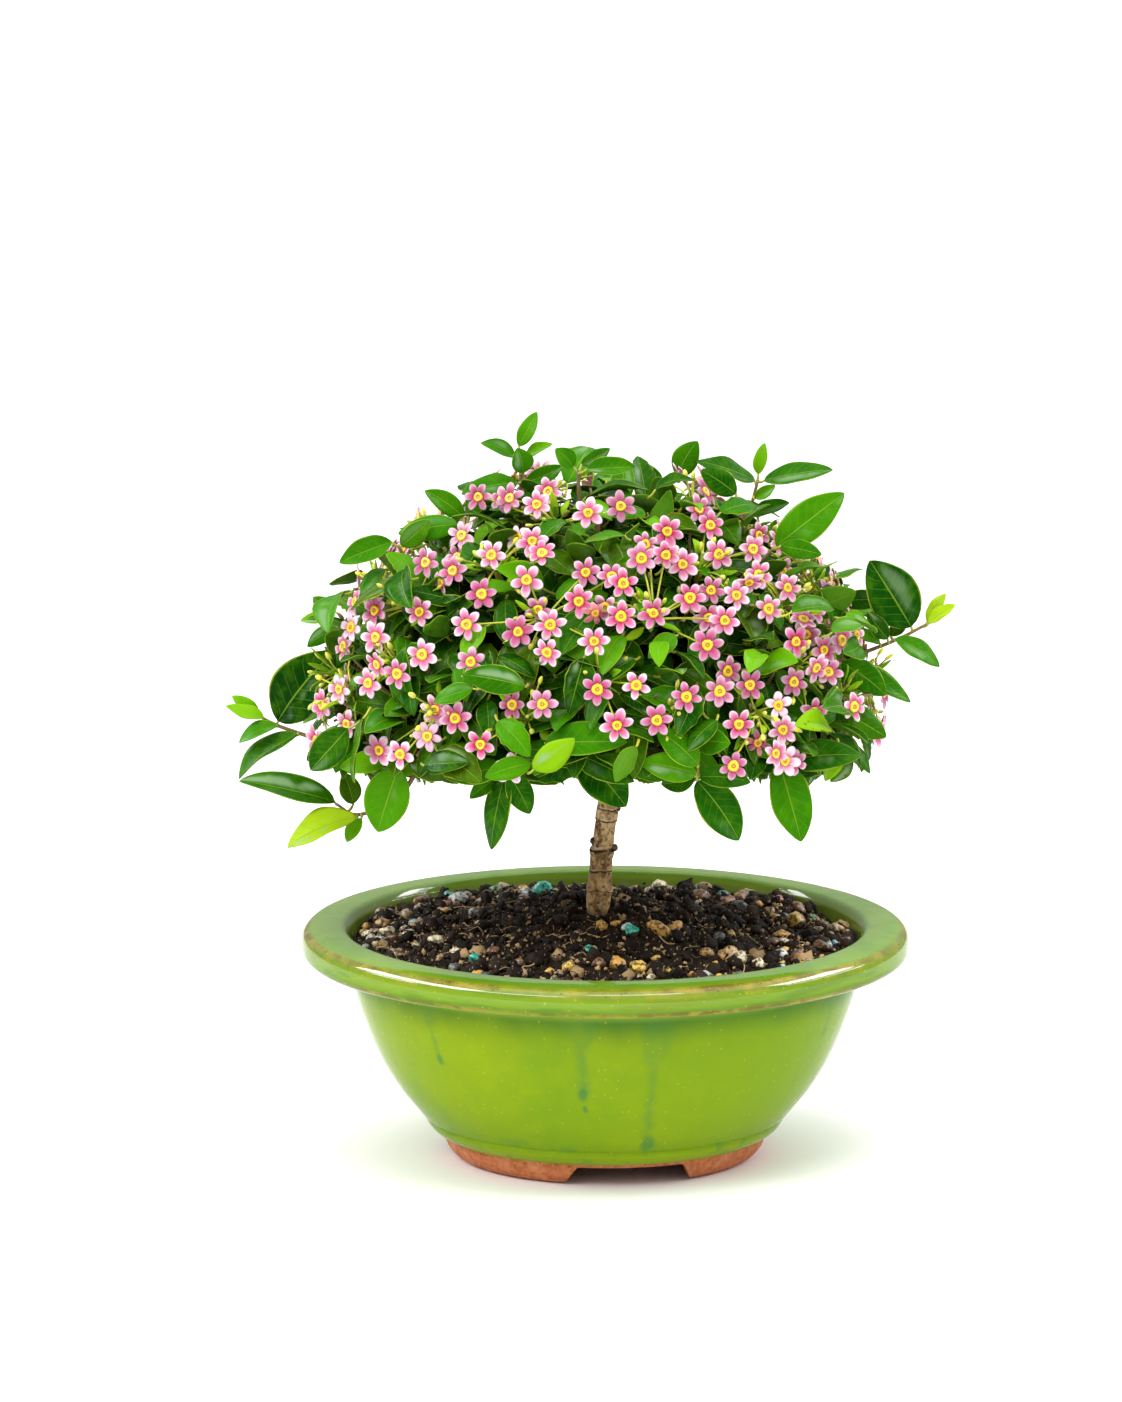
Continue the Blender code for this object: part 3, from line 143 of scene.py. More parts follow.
# Stones that the photo shows: x, y from the pot's axis and radius in mm, and the colour.
SEEN_STONES = [
    (14, -22, 3.2, "ochre"), (-1, -10, 2.2, "ochre"), (3, -11, 1.8, "ochre"), (-4, -36, 1.9, "teal"),
    (7, -24, 1.8, "teal"), (-43, 45, 1.5, "teal"), (-17, 45, 2.7, "turquoise"), (-35, -42, 1.6, "teal"),
    (-52, 8, 1.6, "blue"), (-40, 33, 2.3, "grey"), (-36, 18, 1.5, "grey"), (6, -17, 1.4, "grey"),
    (-61, -10, 1.6, "grey"), (-62, 2, 1.6, "tan"), (-59, -1, 1.8, "cream"), (62, 1, 1.6, "tan"),
    (-34, -2, 1.5, "brown"), (-30, -35, 1.6, "brown"), (-2, -48, 1.9, "brown"), (-23, -44, 1.4, "brown"),
    (-40, -32, 1.5, "cream"), (57, 24, 1.8, "green"), (52, 11, 2.4, "yellow"), (53, -19, 1.5, "cream"),
    (12, 46, 1.6, "cream"), (26, 35, 1.4, "cream"), (38, 43, 1.6, "rust"), (61, 12, 1.7, "tan"),
    (60, -8, 1.5, "yellow"), (48, 38, 1.7, "rust"), (-30, 51, 1.5, "green"), (-6, 53, 1.6, "tan")]
# Bark rings: height and half width in mm.
BARK_RINGS = [(71.6, 0.22), (77.1, 0.3), (83.5, 0.5), (91.4, 0.36), (94.6, 0.3), (99.5, 0.3)]
# Glaze drips: bearing in degrees, and top, bottom and half width in mm.
DRIPS = [(-43.0, 49.0, 35.5, 1.2), (-5.5, 49.0, 29.0, 1.9), (11.4, 46.0, 14.5, 1.7),
         (62.0, 50.0, 38.0, 1.6), (128.0, 49.0, 26.0, 1.7), (171.0, 48.0, 35.0, 1.8),
         (-152.0, 49.0, 22.0, 1.4), (-96.0, 50.0, 34.0, 1.9)]
# Drops: bearing in degrees, and height and size in mm.
DROPS = [(12.6, 13.4, 2.6), (-5.6, 29.5, 1.9), (-5.2, 25.0, 1.2), (-43.0, 36.0, 1.5), (-152.0, 22.0, 2.2),
         (128.0, 26.5, 2.1)]
# Brown lines where the glaze breaks over an edge: height, half width and least radius in mm.
BREAK_LINES = [(61.7, 1.1, 80.2), (55.2, 1.1, 81.0)]

# Finer sizes than the solids have, in metres.
BLADE_THICK = 0.34 * MM
BLADE_KEEL = 0.28 * MM
PETAL_THICK = 0.22 * MM
PETAL_LONG = 4.35 * MM
PETAL_WIDE = 1.16 * MM
PETAL_FROM = 0.8 * MM
DISC_SIDES = 12
# The disc's rings: radius and height in mm, and how orange each is.
DISC_PROFILE = [(1.0, -0.35, 0.0), (1.36, 0.0, 0.0), (1.42, 0.3, 0.0), (1.17, 0.52, 0.0),
                (0.74, 0.5, 0.1), (0.48, 0.28, 1.0)]
# How many there are of each, with the most tries for some, the share of toothed leaves, and seeds.
TOOTHED = 0.22
OUTER_LEAVES, OUTER_TRIES = 400, 5200
INNER_LEAVES, INNER_TRIES = 860, 9000
EXTRA_BLOOMS, EXTRA_TRIES = 104, 2600
HOST_BLOOMS = 66
UMBEL_BUDS = 6
UMBEL_BRACTS = 6
INNER_TWIGS = 9
CRUMB_COUNT, CHIP_COUNT, ROOT_COUNT = 2000, 2600, 420
EXTRA_SEED, LEAF_SEED, BLOOM_SEED, CROWDED_SEED = 11, 5, 23, 31
# Steps that spread places evenly over the dome, as shares of the way round and up.
EVEN_ROUND, EVEN_UP = 0.7548776662, 0.5698402910
# How much lower a point looks from the front for each metre that it stands nearer.
SEEN_SLOPE = 0.178
# Fillers stay above this height as seen from the front, and out of the places in the outline that
# the photo shows open: left, right, low and high as seen, in mm.
LOWEST_FILL = 98.5 * MM
OPEN_PLACES = [(-71.0, -46.0, 158.0, 175.0), (67.5, 110.0, 98.0, 142.5), (63.0, 110.0, 98.0, 126.0),
               (52.0, 72.0, 151.5, 170.0), (-1.5, 12.0, 184.5, 200.0), (25.5, 36.5, 184.5, 200.0),
               (-110.0, -70.0, 112.0, 142.0)]

# Studio: a sky, soft boxes and suns, and a camera that looks down at the part. Angles are in degrees
# and lengths in metres, except the camera's aim and lens, which are in mm.
SKY_LOW, SKY_HIGH = 0.39, 1.58
KEY_POWER, TOP_POWER, STRIP_POWER = 7.0, 5.4, 3.7
SHEEN_POWER = 50.0
SUN_KEY, SUN_TOP = 0.43, 0.8
LIGHT_AIM = (0.0, 0.0, 0.1)
FLOOR_SIZE = 7.0
CAMERA_AIM = (-11.9, 0.0, 124.7)
CAMERA_RISE = 10.1
CAMERA_FAR = 2.4
CAMERA_LENS = 228.3

# The trunk leans right as it rises and forks under the crown.
TRUNK = [((-2.4, 6.0, 47.0), 2.4), ((-2.3, 6.0, 58.0), 3.2), ((-2.1, 5.6, 65.0), 3.7),
         ((-1.6, 5.1, 71.0), 3.3), ((-1.5, 5.0, 72.0), 3.7), ((-1.4, 4.9, 73.0), 3.25),
         ((-0.9, 4.3, 81.6), 3.05), ((-0.8, 4.2, 82.5), 3.45), ((-0.7, 4.1, 83.4), 3.0),
         ((0.3, 3.4, 91.0), 2.95), ((0.4, 3.3, 91.8), 3.2), ((1.3, 2.6, 99.0), 2.8),
         ((1.6, 2.0, 108.0), 2.6), ((0.5, 1.5, 122.0), 2.1), ((-0.5, 1.0, 136.0), 1.7),
         ((-1.0, 0.5, 146.0), 1.4)]
KNOBS = [((-0.5, 4.2, 85.0), (-1.0, -0.35, 0.25)), ((0.0, 4.0, 83.0), (1.0, -0.3, 0.3)),
         ((0.8, 3.2, 94.0), (1.0, -0.35, 0.35))]
KNOB_LENGTH = 4.3 * MM
KNOB_RADIUS = 1.0 * MM
BARK_SIDES = 36
# The trunk rounds off where it enters the soil.
BASE_ROUND = 70.5 * MM
BASE_FALL = 7.2 * MM
# The crown is a dome: half an ellipsoid above its widest line and a shallow one below, which
# hangs lower at the sides than at the front and back.
DOME_MIDDLE = Vector((-2.0 * MM, 0.0, 120.0 * MM))
DOME_WIDE = 84.0 * MM
DOME_DEEP = 76.0 * MM
DOME_HIGH = 70.0 * MM
DOME_LOW_SIDES = 25.0 * MM
DOME_LOW_FRONT = 9.0 * MM
CORE_OUT = 0.83
LEAF_ROOT = 0.775
# Each leafy spray fills one cell of the dome: azimuth and rise limits in degrees.
LOW_RISE = -38.0
MID_RISE = 26.0
TOP_RISE = 60.0
LOW_CELLS = 7
MID_CELLS = 5

# Leaves: a length range, the width as a share of the length, how far apart tips keep, how many leaves
# a spray has, and how many tries each gets.
LEAF_LONG = (15.0 * MM, 20.0 * MM)
LEAF_WIDE = 0.52
TIPS_APART = 7.0 * MM
LEAVES_LOW, LEAVES_MID, LEAVES_TOP = 12, 9, 7
LEAF_TRIES = 90

# Blooms, in metres, on umbels that stand on the sprays.
BLOOM_RADIUS = 4.1 * MM
PEDICEL_REACH = 21.0 * MM
HUB_HEIGHT = 2.2 * MM
BLOOM_COUNT, BLOOM_TRIES = 170, 1500
GOLDEN_TURN = 137.50776
BLOOM_SPARSE_BACK = 0.5
BLOOM_APART = 8.7 * MM
UMBEL_MOST = 7
# Umbel places in a cell, as shares of its width and height.
UMBELS_LOW = [(0.2, 0.3), (0.5, 0.75), (0.8, 0.3)]
UMBELS_FLOOR = 4.0
UMBELS_MID = [(0.2, 0.3), (0.5, 0.7), (0.8, 0.3)]
UMBELS_TOP = [(0.1, 0.3), (0.43, 0.3), (0.77, 0.3)]

LAYOUT_SEED = 39

# Free distances that keep one node's blades off the next, and a node's own apart.
CLEAR_OTHER = 2.3 * MM
CLEAR_OWN = 1.8 * MM

# The shoots that give the crown its outline. Each has the twig's points, and a row for each leaf:
# the blade's foot (x, y, z), its tip (x, z) and the width that the front view shows, in mm.
SHOOTS = {
    "left_upper": ([(-47, -3, 156), (-51.5, -3, 161), (-55.5, -4, 167.5)],
                   [(-57, -5, 168.5, -71, 163, 6.4), (-54.6, -2, 167, -47, 174, 6.2)]),
    "left_mid": ([(-62, -3, 138), (-68, -3, 141), (-74.5, -3, 148.5)],
                 [(-74, -3, 149, -79, 154, 4.8), (-74, 0, 148, -82.5, 147, 3.0),
                  (-72.5, -6, 146, -80.5, 141, 4.6), (-68.5, -8, 141.5, -81, 133.5, 6.0)]),
    "left_back": ([(-54, 4, 151), (-57, 5, 153.5)], [(-57.3, 5, 153.7, -72, 152.5, 6.5)]),
    "left_tip": ([(-72, -4, 114), (-80, -3, 115.6), (-88.5, -3, 118.6), (-93.5, -2, 121)],
                 [(-88.3, -1, 119.3, -73, 138.5, 15.5), (-93.5, 0, 121.4, -100.7, 126, 3.8),
                  (-92, -4, 120.8, -102.2, 124, 3.0), (-88.4, -6, 119, -98.7, 114.3, 3.4),
                  (-82.8, -6, 116.5, -98.7, 104.7, 4.0)]),
    "left_front": ([(-60, -14, 116), (-63, -14, 117)], [(-64, -15, 117.4, -80, 111.6, 10.8)]),
    "left_low": ([(-50, -6, 108), (-56, -6, 99), (-66.5, -6, 94.6), (-72.5, -5, 97.4)],
                 [(-72.7, -4, 97.7, -98.3, 104, 5.0), (-66.8, -10, 94.8, -85.4, 86.3, 6.2),
                  (-65.5, -8, 94, -69.5, 87.5, 4.0), (-67.8, -3, 97, -70.4, 105.5, 6.0)]),
    "left_bright": ([(-50, -39, 118), (-54.6, -41, 115)],
                    [(-54.9, -42, 114.4, -60.6, 96.4, 12.4), (-57, -38, 116, -70.7, 113.6, 5.6)]),
    "right_big": ([(40, -5, 162), (45, -5, 167)],
                  [(45.4, -5, 167.4, 63.5, 181.7, 10.6), (46.6, -9, 168, 57.5, 165.5, 5.4)]),
    "right_top": ([(35, 0, 166), (38.5, 0, 175), (41.4, 0, 185.6)],
                  [(43, 0, 185.4, 61.5, 188.6, 4.4), (40.2, 4, 175, 50, 178.6, 3.6),
                   (41.4, 0, 187.2, 43.2, 195.6, 3.6), (40.4, -3, 181, 46, 184.6, 3.4),
                   (40.6, 2, 185, 24.7, 190.6, 3.8)]),
    "right_mid": ([(58, -5, 149), (63, -5, 152.6)],
                  [(63.7, -4, 153.3, 55.5, 163.5, 6.4), (63.8, -6, 153.2, 76.2, 153.8, 5.2)]),
    "right_tip": ([(60, -3, 134), (63.4, -3, 136), (78, -2, 141.6), (86.5, -1, 145.8)],
                  [(82.5, 0, 145, 71.2, 163, 14.6), (86.8, 0, 146.3, 91.6, 154.2, 3.4),
                   (87, -4, 146.6, 94.2, 151.6, 3.0), (76, -4, 142.4, 70.5, 149.8, 5.0),
                   (77, 3, 142, 81.5, 148, 4.0), (74, -3, 141, 66.4, 144.4, 3.0),
                   (78, -5, 142.6, 90.1, 134.8, 4.6)]),
    "right_low": ([(57, -9, 134.4), (62, -9, 136)],
                  [(63.1, -9, 136.6, 75, 128, 8.4), (62, -3, 133, 82, 124.6, 5.0)]),
    "top_left": ([(-22.6, -2, 176), (-22.6, -1, 184), (-23.2, 0, 193)],
                 [(-23.2, 0, 194.2, -18.4, 203.4, 4.4), (-24.3, 0, 191.3, -33.4, 195.2, 3.6),
                  (-22, -4, 187.6, -23.6, 194.4, 6.2), (-21.4, 1, 191, -14.2, 194.8, 2.6),
                  (-23.6, -3, 184.7, -38.6, 182, 5.8), (-21.2, -3, 185, -11.5, 189.4, 5.2)]),
    "top_mid": ([(-7, -2, 180), (-7.4, -2, 187.6)],
                [(-8.6, -2, 188.4, -13.4, 193.4, 5.4), (-6.4, 1, 188.6, 1.2, 193, 3.9),
                 (-5, -4, 188, 8, 188.4, 4.6)]),
    "top_right": ([(17, 1, 178), (17.6, 1, 185)],
                  [(19.6, 0, 186.6, 25, 196.4, 7.4), (15.6, 2, 185.4, 5.6, 188.8, 3.6)]),
    "right_crest": ([(32, 2, 172), (35, 2, 179)], [(35, 2, 180.6, 25.6, 187, 7.0)]),
    "left_crest": ([(-35, -3, 166), (-38, -4, 173)],
                   [(-39.5, -8, 174, -55.4, 171.4, 6.4), (-38, 0, 174.6, -48.4, 182, 5.6),
                    (-36.7, 9, 173.5, -30.8, 182.9, 6.4)]),
    "low_left": ([(-25.6, -58, 120.6), (-26.4, -60, 117.2)],
                 [(-26.4, -59, 116.4, -30.4, 95.6, 6.6), (-25.6, -62, 116, -20.1, 105.4, 7.3),
                  (-27.2, -62, 118.4, -42.7, 115.8, 6.4), (-27.6, -56, 114.8, -36, 108.6, 4.6)]),
    "low_mid": ([(-7, -56, 122.6), (-7.2, -58, 121.8)], [(-7.2, -58, 121.4, 5.3, 107, 12.2)]),
    "low_front": ([(-14, -66, 125.8)], [(-16.1, -68, 125.6, 5.4, 126.2, 8.0)]),
    "low_right": ([(24, -58, 120), (24, -61, 116.4)],
                  [(23.9, -60, 114, 35.1, 97.6, 10.8), (23.4, -60, 115, 14.5, 113, 5.8),
                   (24.6, -62, 115.4, 38, 114, 5.8), (23.6, -64, 116.6, 8.9, 120.1, 7.8),
                   (24.1, -67, 119.5, 13.2, 129, 7.8)]),
    "low_edge": ([(44, -46, 121), (45.6, -46, 117.6)],
                 [(45.8, -48, 117, 51.8, 95.8, 11.3), (46.4, -44, 116, 67.8, 117.5, 7.4),
                  (44.4, -43, 112.6, 46.4, 103.4, 4.4)]),
    "face_left": ([(-20.6, -68, 141.3)], [(-21.3, -71, 141.3, -37.8, 144.5, 7.8)]),
}
# How far each shoot stands back from where it is written, in mm, along the line on which the front
# view looks down at it, so that the shoots ring the crown and its outline stays.
SHOOT_DEPTHS = {"left_upper": -16, "left_mid": 14, "left_back": 16, "left_front": -6, "left_low": -9,
                "right_big": -18, "right_top": 14, "right_mid": 12, "right_low": -10, "top_mid": -14,
                "top_right": 16, "right_crest": -12, "left_crest": -8}
VIEW_SLOPE = 0.19
WIDTH_FROM_LENGTH = 0.46
OUTLINE_LEAN = 0.12


def vec(point):
    """A point written in millimetres."""
    return Vector(point) * MM


def dome_height(azimuth, up):
    """The dome's half height at an azimuth in degrees, above or below its widest line."""
    front = math.cos(math.radians(azimuth)) ** 2
    return DOME_HIGH if up > 0 else DOME_LOW_SIDES + (DOME_LOW_FRONT - DOME_LOW_SIDES) * front


def dome_point(azimuth, rise, share):
    """A point of the dome scaled by share: azimuth 0 is the front, and rise is up from its rim."""
    high = dome_height(azimuth, rise)
    flat = math.cos(math.radians(rise))
    turn = math.radians(azimuth)
    return DOME_MIDDLE + share * Vector((DOME_WIDE * flat * math.sin(turn),
                                         -DOME_DEEP * flat * math.cos(turn),
                                         high * math.sin(math.radians(rise))))


def dome_angles(point):
    """The azimuth and rise of a point, and its share of the way out to the dome."""
    away = point - DOME_MIDDLE
    across = away.x / DOME_WIDE
    front = -away.y / DOME_DEEP
    azimuth = math.degrees(math.atan2(across, front))
    up = away.z / dome_height(azimuth, away.z)
    flat = math.hypot(across, front)
    return azimuth, math.degrees(math.atan2(up, flat)), math.hypot(flat, up)


def dome_normal(point):
    """The direction out of the dome at a point near its surface."""
    away = point - DOME_MIDDLE
    high = DOME_HIGH if away.z > 0 else DOME_LOW_SIDES * 1.6
    return Vector((away.x / DOME_WIDE ** 2, away.y / DOME_DEEP ** 2, away.z / high ** 2)).normalized()


def dome_cells():
    """The cells: name, azimuth middle and half width, lowest and highest rise."""
    cells = {}
    for i in range(LOW_CELLS):
        cells[f"spray_low_{i + 1}"] = (i * 360.0 / LOW_CELLS, 180.0 / LOW_CELLS, LOW_RISE, MID_RISE)
    for i in range(MID_CELLS):
        middle = (i + 0.5) * 360.0 / MID_CELLS
        cells[f"spray_mid_{i + 1}"] = (middle, 180.0 / MID_CELLS, MID_RISE, TOP_RISE)
    cells["spray_top"] = (0.0, 180.0, TOP_RISE, 90.0)
    return cells


def turned(angle):
    """An angle brought between -180 and 180 degrees."""
    return (angle + 180.0) % 360.0 - 180.0


def cell_at(azimuth, rise, cells):
    """The name of the cell that holds a direction."""
    for name, (middle, half, low, high) in cells.items():
        low = -90.0 if name.startswith("spray_low") else low
        if abs(turned(azimuth - middle)) <= half and low <= rise < high + 0.001:
            return name
    return "spray_top"


def held_in(cell, azimuth, rise, margin):
    """The nearest direction that lies inside a cell by a margin in metres."""
    middle, half, low, high = cell
    rise_margin = math.degrees(margin / DOME_HIGH)
    rise = min(max(rise, low + rise_margin), high - rise_margin if high < 90 else 89.0)
    if half < 180.0:
        width = DOME_WIDE * max(math.cos(math.radians(rise)), 0.3)
        room = max(half - math.degrees(margin / width), 0.0)
        azimuth = middle + min(max(turned(azimuth - middle), -room), room)
    return azimuth, rise


def across_blade(along, face):
    """Unit vectors of a blade: along it, across it, and out of its upper face."""
    along = along.normalized()
    side = face.cross(along).normalized()
    return along, side, along.cross(side)


def blade_rows(leaf, shares):
    """Midrib points of a leaf with its half width and axes at each share of its length."""
    along, side, out = across_blade(leaf["tip"] - leaf["foot"], leaf["face"])
    length = (leaf["tip"] - leaf["foot"]).length
    rows = []
    for share in shares:
        bow = leaf["bow"] * length * 4.0 * share * (1.0 - share)
        half = 0.5 * leaf["width"] * math.sin(math.pi * share ** 0.86) ** 0.8
        rows.append((leaf["foot"] + along * (length * share) + out * bow, half, side, out))
    return rows


def leaf_samples(leaf):
    """Points on a leaf about 2 mm apart, from its root to its tip."""
    length = (leaf["tip"] - leaf["foot"]).length
    steps = max(int(length / (2.2 * MM)), 3)
    points = rod_samples(leaf["root"].lerp(leaf["foot"], 0.25), leaf["foot"])
    for middle, half, side, out in blade_rows(leaf, [(i + 0.5) / steps for i in range(steps)]):
        lanes = max(int(half / (1.6 * MM)), 1)
        for lane in range(-lanes, lanes + 1):
            points.append(middle + side * (half * 0.94 * lane / lanes))
    points.append(leaf["tip"])
    return np.array(points)


def rod_samples(start, end, step=1.3 * MM):
    """Points along a straight stretch."""
    count = max(int((end - start).length / step), 1)
    return [start.lerp(end, i / count) for i in range(count + 1)]


def outline_shoots(cells, rng):
    """Twigs and leaves of the named shoots, each with the spray that it grows from."""
    shoots = []
    for name, (twig, rows) in SHOOTS.items():
        back = Vector((0.0, 1.0, -VIEW_SLOPE)) * (SHOOT_DEPTHS.get(name, 0.0) * MM)
        twig = [vec(p) + back for p in twig]
        azimuth, rise, _ = dome_angles(twig[0])
        spray = cell_at(azimuth, rise, cells)
        azimuth, rise = held_in(cells[spray], azimuth, rise, 5.0 * MM)
        twig.insert(0, dome_point(azimuth, rise, 0.74))
        leaves = []
        for i, (x, y, z, tip_x, tip_z, seen) in enumerate(rows):
            foot, tip = vec((x, y, z)) + back, vec((tip_x, y, tip_z)) + back
            length = (tip - foot).length
            tip.y += length * rng.uniform(-OUTLINE_LEAN, OUTLINE_LEAN)
            width = max(seen * MM, WIDTH_FROM_LENGTH * length)
            turn = math.acos(min(seen * MM / width, 0.97))
            flat = (tip - foot).cross(Vector((0, 1, 0))).normalized()
            flat = flat if flat.z > 0 else -flat
            face = Vector((0, -1, 0)) * math.cos(turn) + flat * math.sin(turn)
            root = nearest_on(twig, foot, (0.5 + 0.3 * i) * MM)
            leaves.append({"root": root, "foot": foot, "tip": tip, "face": face, "width": width,
                           "bow": rng.uniform(0.03, 0.08)})
        shoots.append({"name": name, "spray": spray, "twig": twig, "leaves": leaves})
    return shoots


def nearest_on(path, point, short):
    """The point of a path nearest to a point, on stretches that each end a little short."""
    best = None
    for a, b in zip(path, path[1:]):
        most = 1.0 - short / (b - a).length
        share = min(max((point - a).dot(b - a) / (b - a).length_squared, 0.0), most)
        spot = a.lerp(b, share)
        if best is None or (spot - point).length < (best - point).length:
            best = spot
    return best


class Crowd:
    """Sample points of what is placed so far, with the node that each belongs to."""

    def __init__(self):
        self.points = np.zeros((0, 3))
        self.owners = np.zeros(0, dtype="U24")

    def add(self, points, owner):
        self.points = np.vstack([self.points, np.asarray(points, float)])
        self.owners = np.concatenate([self.owners, np.full(len(points), owner, dtype="U24")])

    def clear(self, points, owner, own_distance, other_distance=CLEAR_OTHER):
        """Whether points keep their distance from all that is placed."""
        points = np.asarray(points, float)
        low, high = points.min(0) - other_distance, points.max(0) + other_distance
        near = ((self.points > low) & (self.points < high)).all(1)
        if not near.any():
            return True
        gaps = np.linalg.norm(self.points[near][:, None] - points[None], axis=2).min(1)
        own = self.owners[near] == owner
        return not ((gaps[own] < own_distance).any() or (gaps[~own] < other_distance).any())


def umbel_places(cells):
    """The foot of each umbel: its spray, and a direction inside that spray's cell."""
    places = {}
    for spray, (middle, half, low, high) in cells.items():
        spots = UMBELS_LOW if "low" in spray else UMBELS_MID if "mid" in spray else UMBELS_TOP
        floor = max(low, UMBELS_FLOOR)
        for i, (across, up) in enumerate(spots):
            name = spray.replace("spray", "umbel") + "_" + "abc"[i]
            places[name] = (spray, middle + half * (2.0 * across - 1.0), floor + (high - floor) * up)
    return places


def bloom_frame(face):
    """Two unit vectors in the plane of a bloom that looks along face."""
    side = face.cross(Vector((0, 0, 1)))
    side = side.normalized() if side.length > 0.01 else Vector((1, 0, 0))
    return side, face.cross(side).normalized()


def bloom_samples(bloom):
    """Points on a bloom's petals and down its pedicel."""
    side, up = bloom_frame(bloom["face"])
    points = [bloom["middle"]]
    for radius, count in ((0.5, 6), (0.97, 10)):
        for i in range(count):
            turn = 2.0 * math.pi * i / count
            arm = side * math.cos(turn) + up * math.sin(turn)
            points.append(bloom["middle"] + arm * (radius * BLOOM_RADIUS))
    return points + rod_samples(bloom["middle"], bloom["foot"])[1:]


def bloom_facing(middle):
    """A bloom looks out of the crown, and those of the front half look to the front."""
    out = dome_normal(middle)
    level = Vector((out.x, out.y, 0.0))
    level = level.normalized() if level.length > 0.05 else Vector((0, -1, 0))
    front = max(-level.y, 0.0)
    return (out * 0.35 + level * 0.45 + Vector((0, -1, 0.05)) * (0.55 * front + 0.1)).normalized()


def free_feet(places, cells, crowd, rng):
    """The foot of each umbel, moved about in its cell until it stands clear of the twigs."""
    feet = {}
    for name, (spray, azimuth, rise) in places.items():
        for reach in range(60):
            spot = held_in(cells[spray], azimuth + rng.uniform(-0.4, 0.4) * reach,
                           rise + rng.uniform(-0.25, 0.25) * reach, 5.0 * MM)
            foot = dome_point(*spot, CORE_OUT + 0.015)
            out = dome_normal(foot)
            stalk = rod_samples(foot - out * 3.0 * MM, foot + out * HUB_HEIGHT * 1.5)
            if crowd.clear(stalk, name, 0.0, 3.0 * MM):
                break
        crowd.add(stalk, name)
        feet[name] = foot
    return feet


def place_blooms(cells, crowd, rng):
    """Blooms over the dome, each on the nearest umbel that has room for it."""
    places = umbel_places(cells)
    feet = free_feet(places, cells, crowd, rng)
    blooms = []
    counts = {n: 0 for n in places}
    tries = list(range(BLOOM_TRIES))
    rng.shuffle(tries)
    for i in tries:
        if len(blooms) == BLOOM_COUNT:
            break
        height = -0.16 + 1.13 * (i + 0.5) / len(tries)
        rise = math.degrees(math.asin(max(min(height, 0.999), -0.999)))
        azimuth = turned(i * GOLDEN_TURN)
        side_on = abs(math.sin(math.radians(azimuth))) * math.cos(math.radians(rise))
        share = 0.975 - 0.07 * side_on + rng.uniform(-0.02, 0.02)
        middle = dome_point(azimuth, rise, share)
        behind = 0.5 - 0.5 * math.cos(math.radians(azimuth))
        if rng.random() < BLOOM_SPARSE_BACK * behind:
            continue
        spray = cell_at(azimuth, rise, cells)
        own = [n for n in places if places[n][0] == spray and counts[n] < UMBEL_MOST]
        if not own:
            continue
        umbel = min(own, key=lambda n: (feet[n] - middle).length)
        face = bloom_facing(middle)
        foot = feet[umbel] + dome_normal(feet[umbel]) * (0.6 * HUB_HEIGHT)
        bloom = {"umbel": umbel, "middle": middle, "face": face, "foot": foot,
                 "roll": rng.uniform(0.0, 60.0), "size": rng.uniform(0.92, 1.06)}
        apart = all((b["middle"] - middle).length > BLOOM_APART for b in blooms)
        reach = (middle - foot).length
        samples = bloom_samples(bloom)
        above = all(dome_angles(Vector(p))[2] > CORE_OUT + 0.03 for p in samples[:-2])
        if apart and above and reach < PEDICEL_REACH and crowd.clear(samples[:-1], umbel, 0.0):
            crowd.add(samples, umbel)
            counts[umbel] += 1
            blooms.append(bloom)
    return blooms, feet


def lying(out, spread, rng):
    """A direction in the dome's surface, down and outward give or take a turn."""
    down = (out * out.z - Vector((0, 0, 1))) + Vector((out.x, out.y, 0.0)) * 0.4
    lie = Matrix.Rotation(rng.gauss(0.0, spread), 3, out) @ down
    return (lie - out * lie.dot(out)).normalized()


def dome_leaves(spray, cell, count, crowd, rng):
    """A spray's leaves: they rise from its core and bend over near the dome's surface."""
    middle, half, low, high = cell
    leaves, tips = [], []
    for _ in range(count * LEAF_TRIES):
        if len(leaves) == count:
            break
        azimuth = middle + rng.uniform(-half, half)
        rise = 90.0 - 32.0 * math.sqrt(rng.random()) if high == 90.0 else rng.uniform(low, high)
        length = rng.uniform(*LEAF_LONG)
        tip = dome_point(azimuth, rise, rng.uniform(0.95, 1.03))
        out = dome_normal(tip)
        lie = lying(out, 0.9, rng)
        lift = (tip - dome_point(azimuth, rise, LEAF_ROOT)).length
        run = math.sqrt(max(length ** 2 - lift ** 2, (5.0 * MM) ** 2))
        azimuth, rise, _ = dome_angles(tip - lie * run - out * lift)
        root = dome_point(*held_in(cell, azimuth, rise, 4.5 * MM), LEAF_ROOT)
        span = tip - root
        if span.length > LEAF_LONG[1] * 1.25 or any((t - tip).length < TIPS_APART for t in tips):
            continue
        face = (out * 0.8 + Vector((0, 0, 0.45)) + Vector(rng.gauss(0, 0.22) for _ in range(3)))
        leaf = {"root": root, "foot": root + span * 0.26, "tip": tip, "face": face.normalized(),
                "width": LEAF_WIDE * span.length * 0.8, "bow": rng.uniform(0.04, 0.12)}
        samples = leaf_samples(leaf)
        if stays_home(samples, cell) and crowd.clear(samples, spray, CLEAR_OWN):
            crowd.add(samples, spray)
            leaves.append(leaf)
            tips.append(tip)
    return leaves


def stays_home(samples, cell):
    """Whether the points that are as deep as the sprays' cores all lie well inside one cell."""
    for point in samples:
        azimuth, rise, share = dome_angles(Vector(point))
        if share < CORE_OUT + 0.03:
            held = held_in(cell, azimuth, rise, 2.0 * MM)
            if abs(turned(held[0] - azimuth)) > 0.01 or held[1] < rise - 0.01:
                return False
    return True


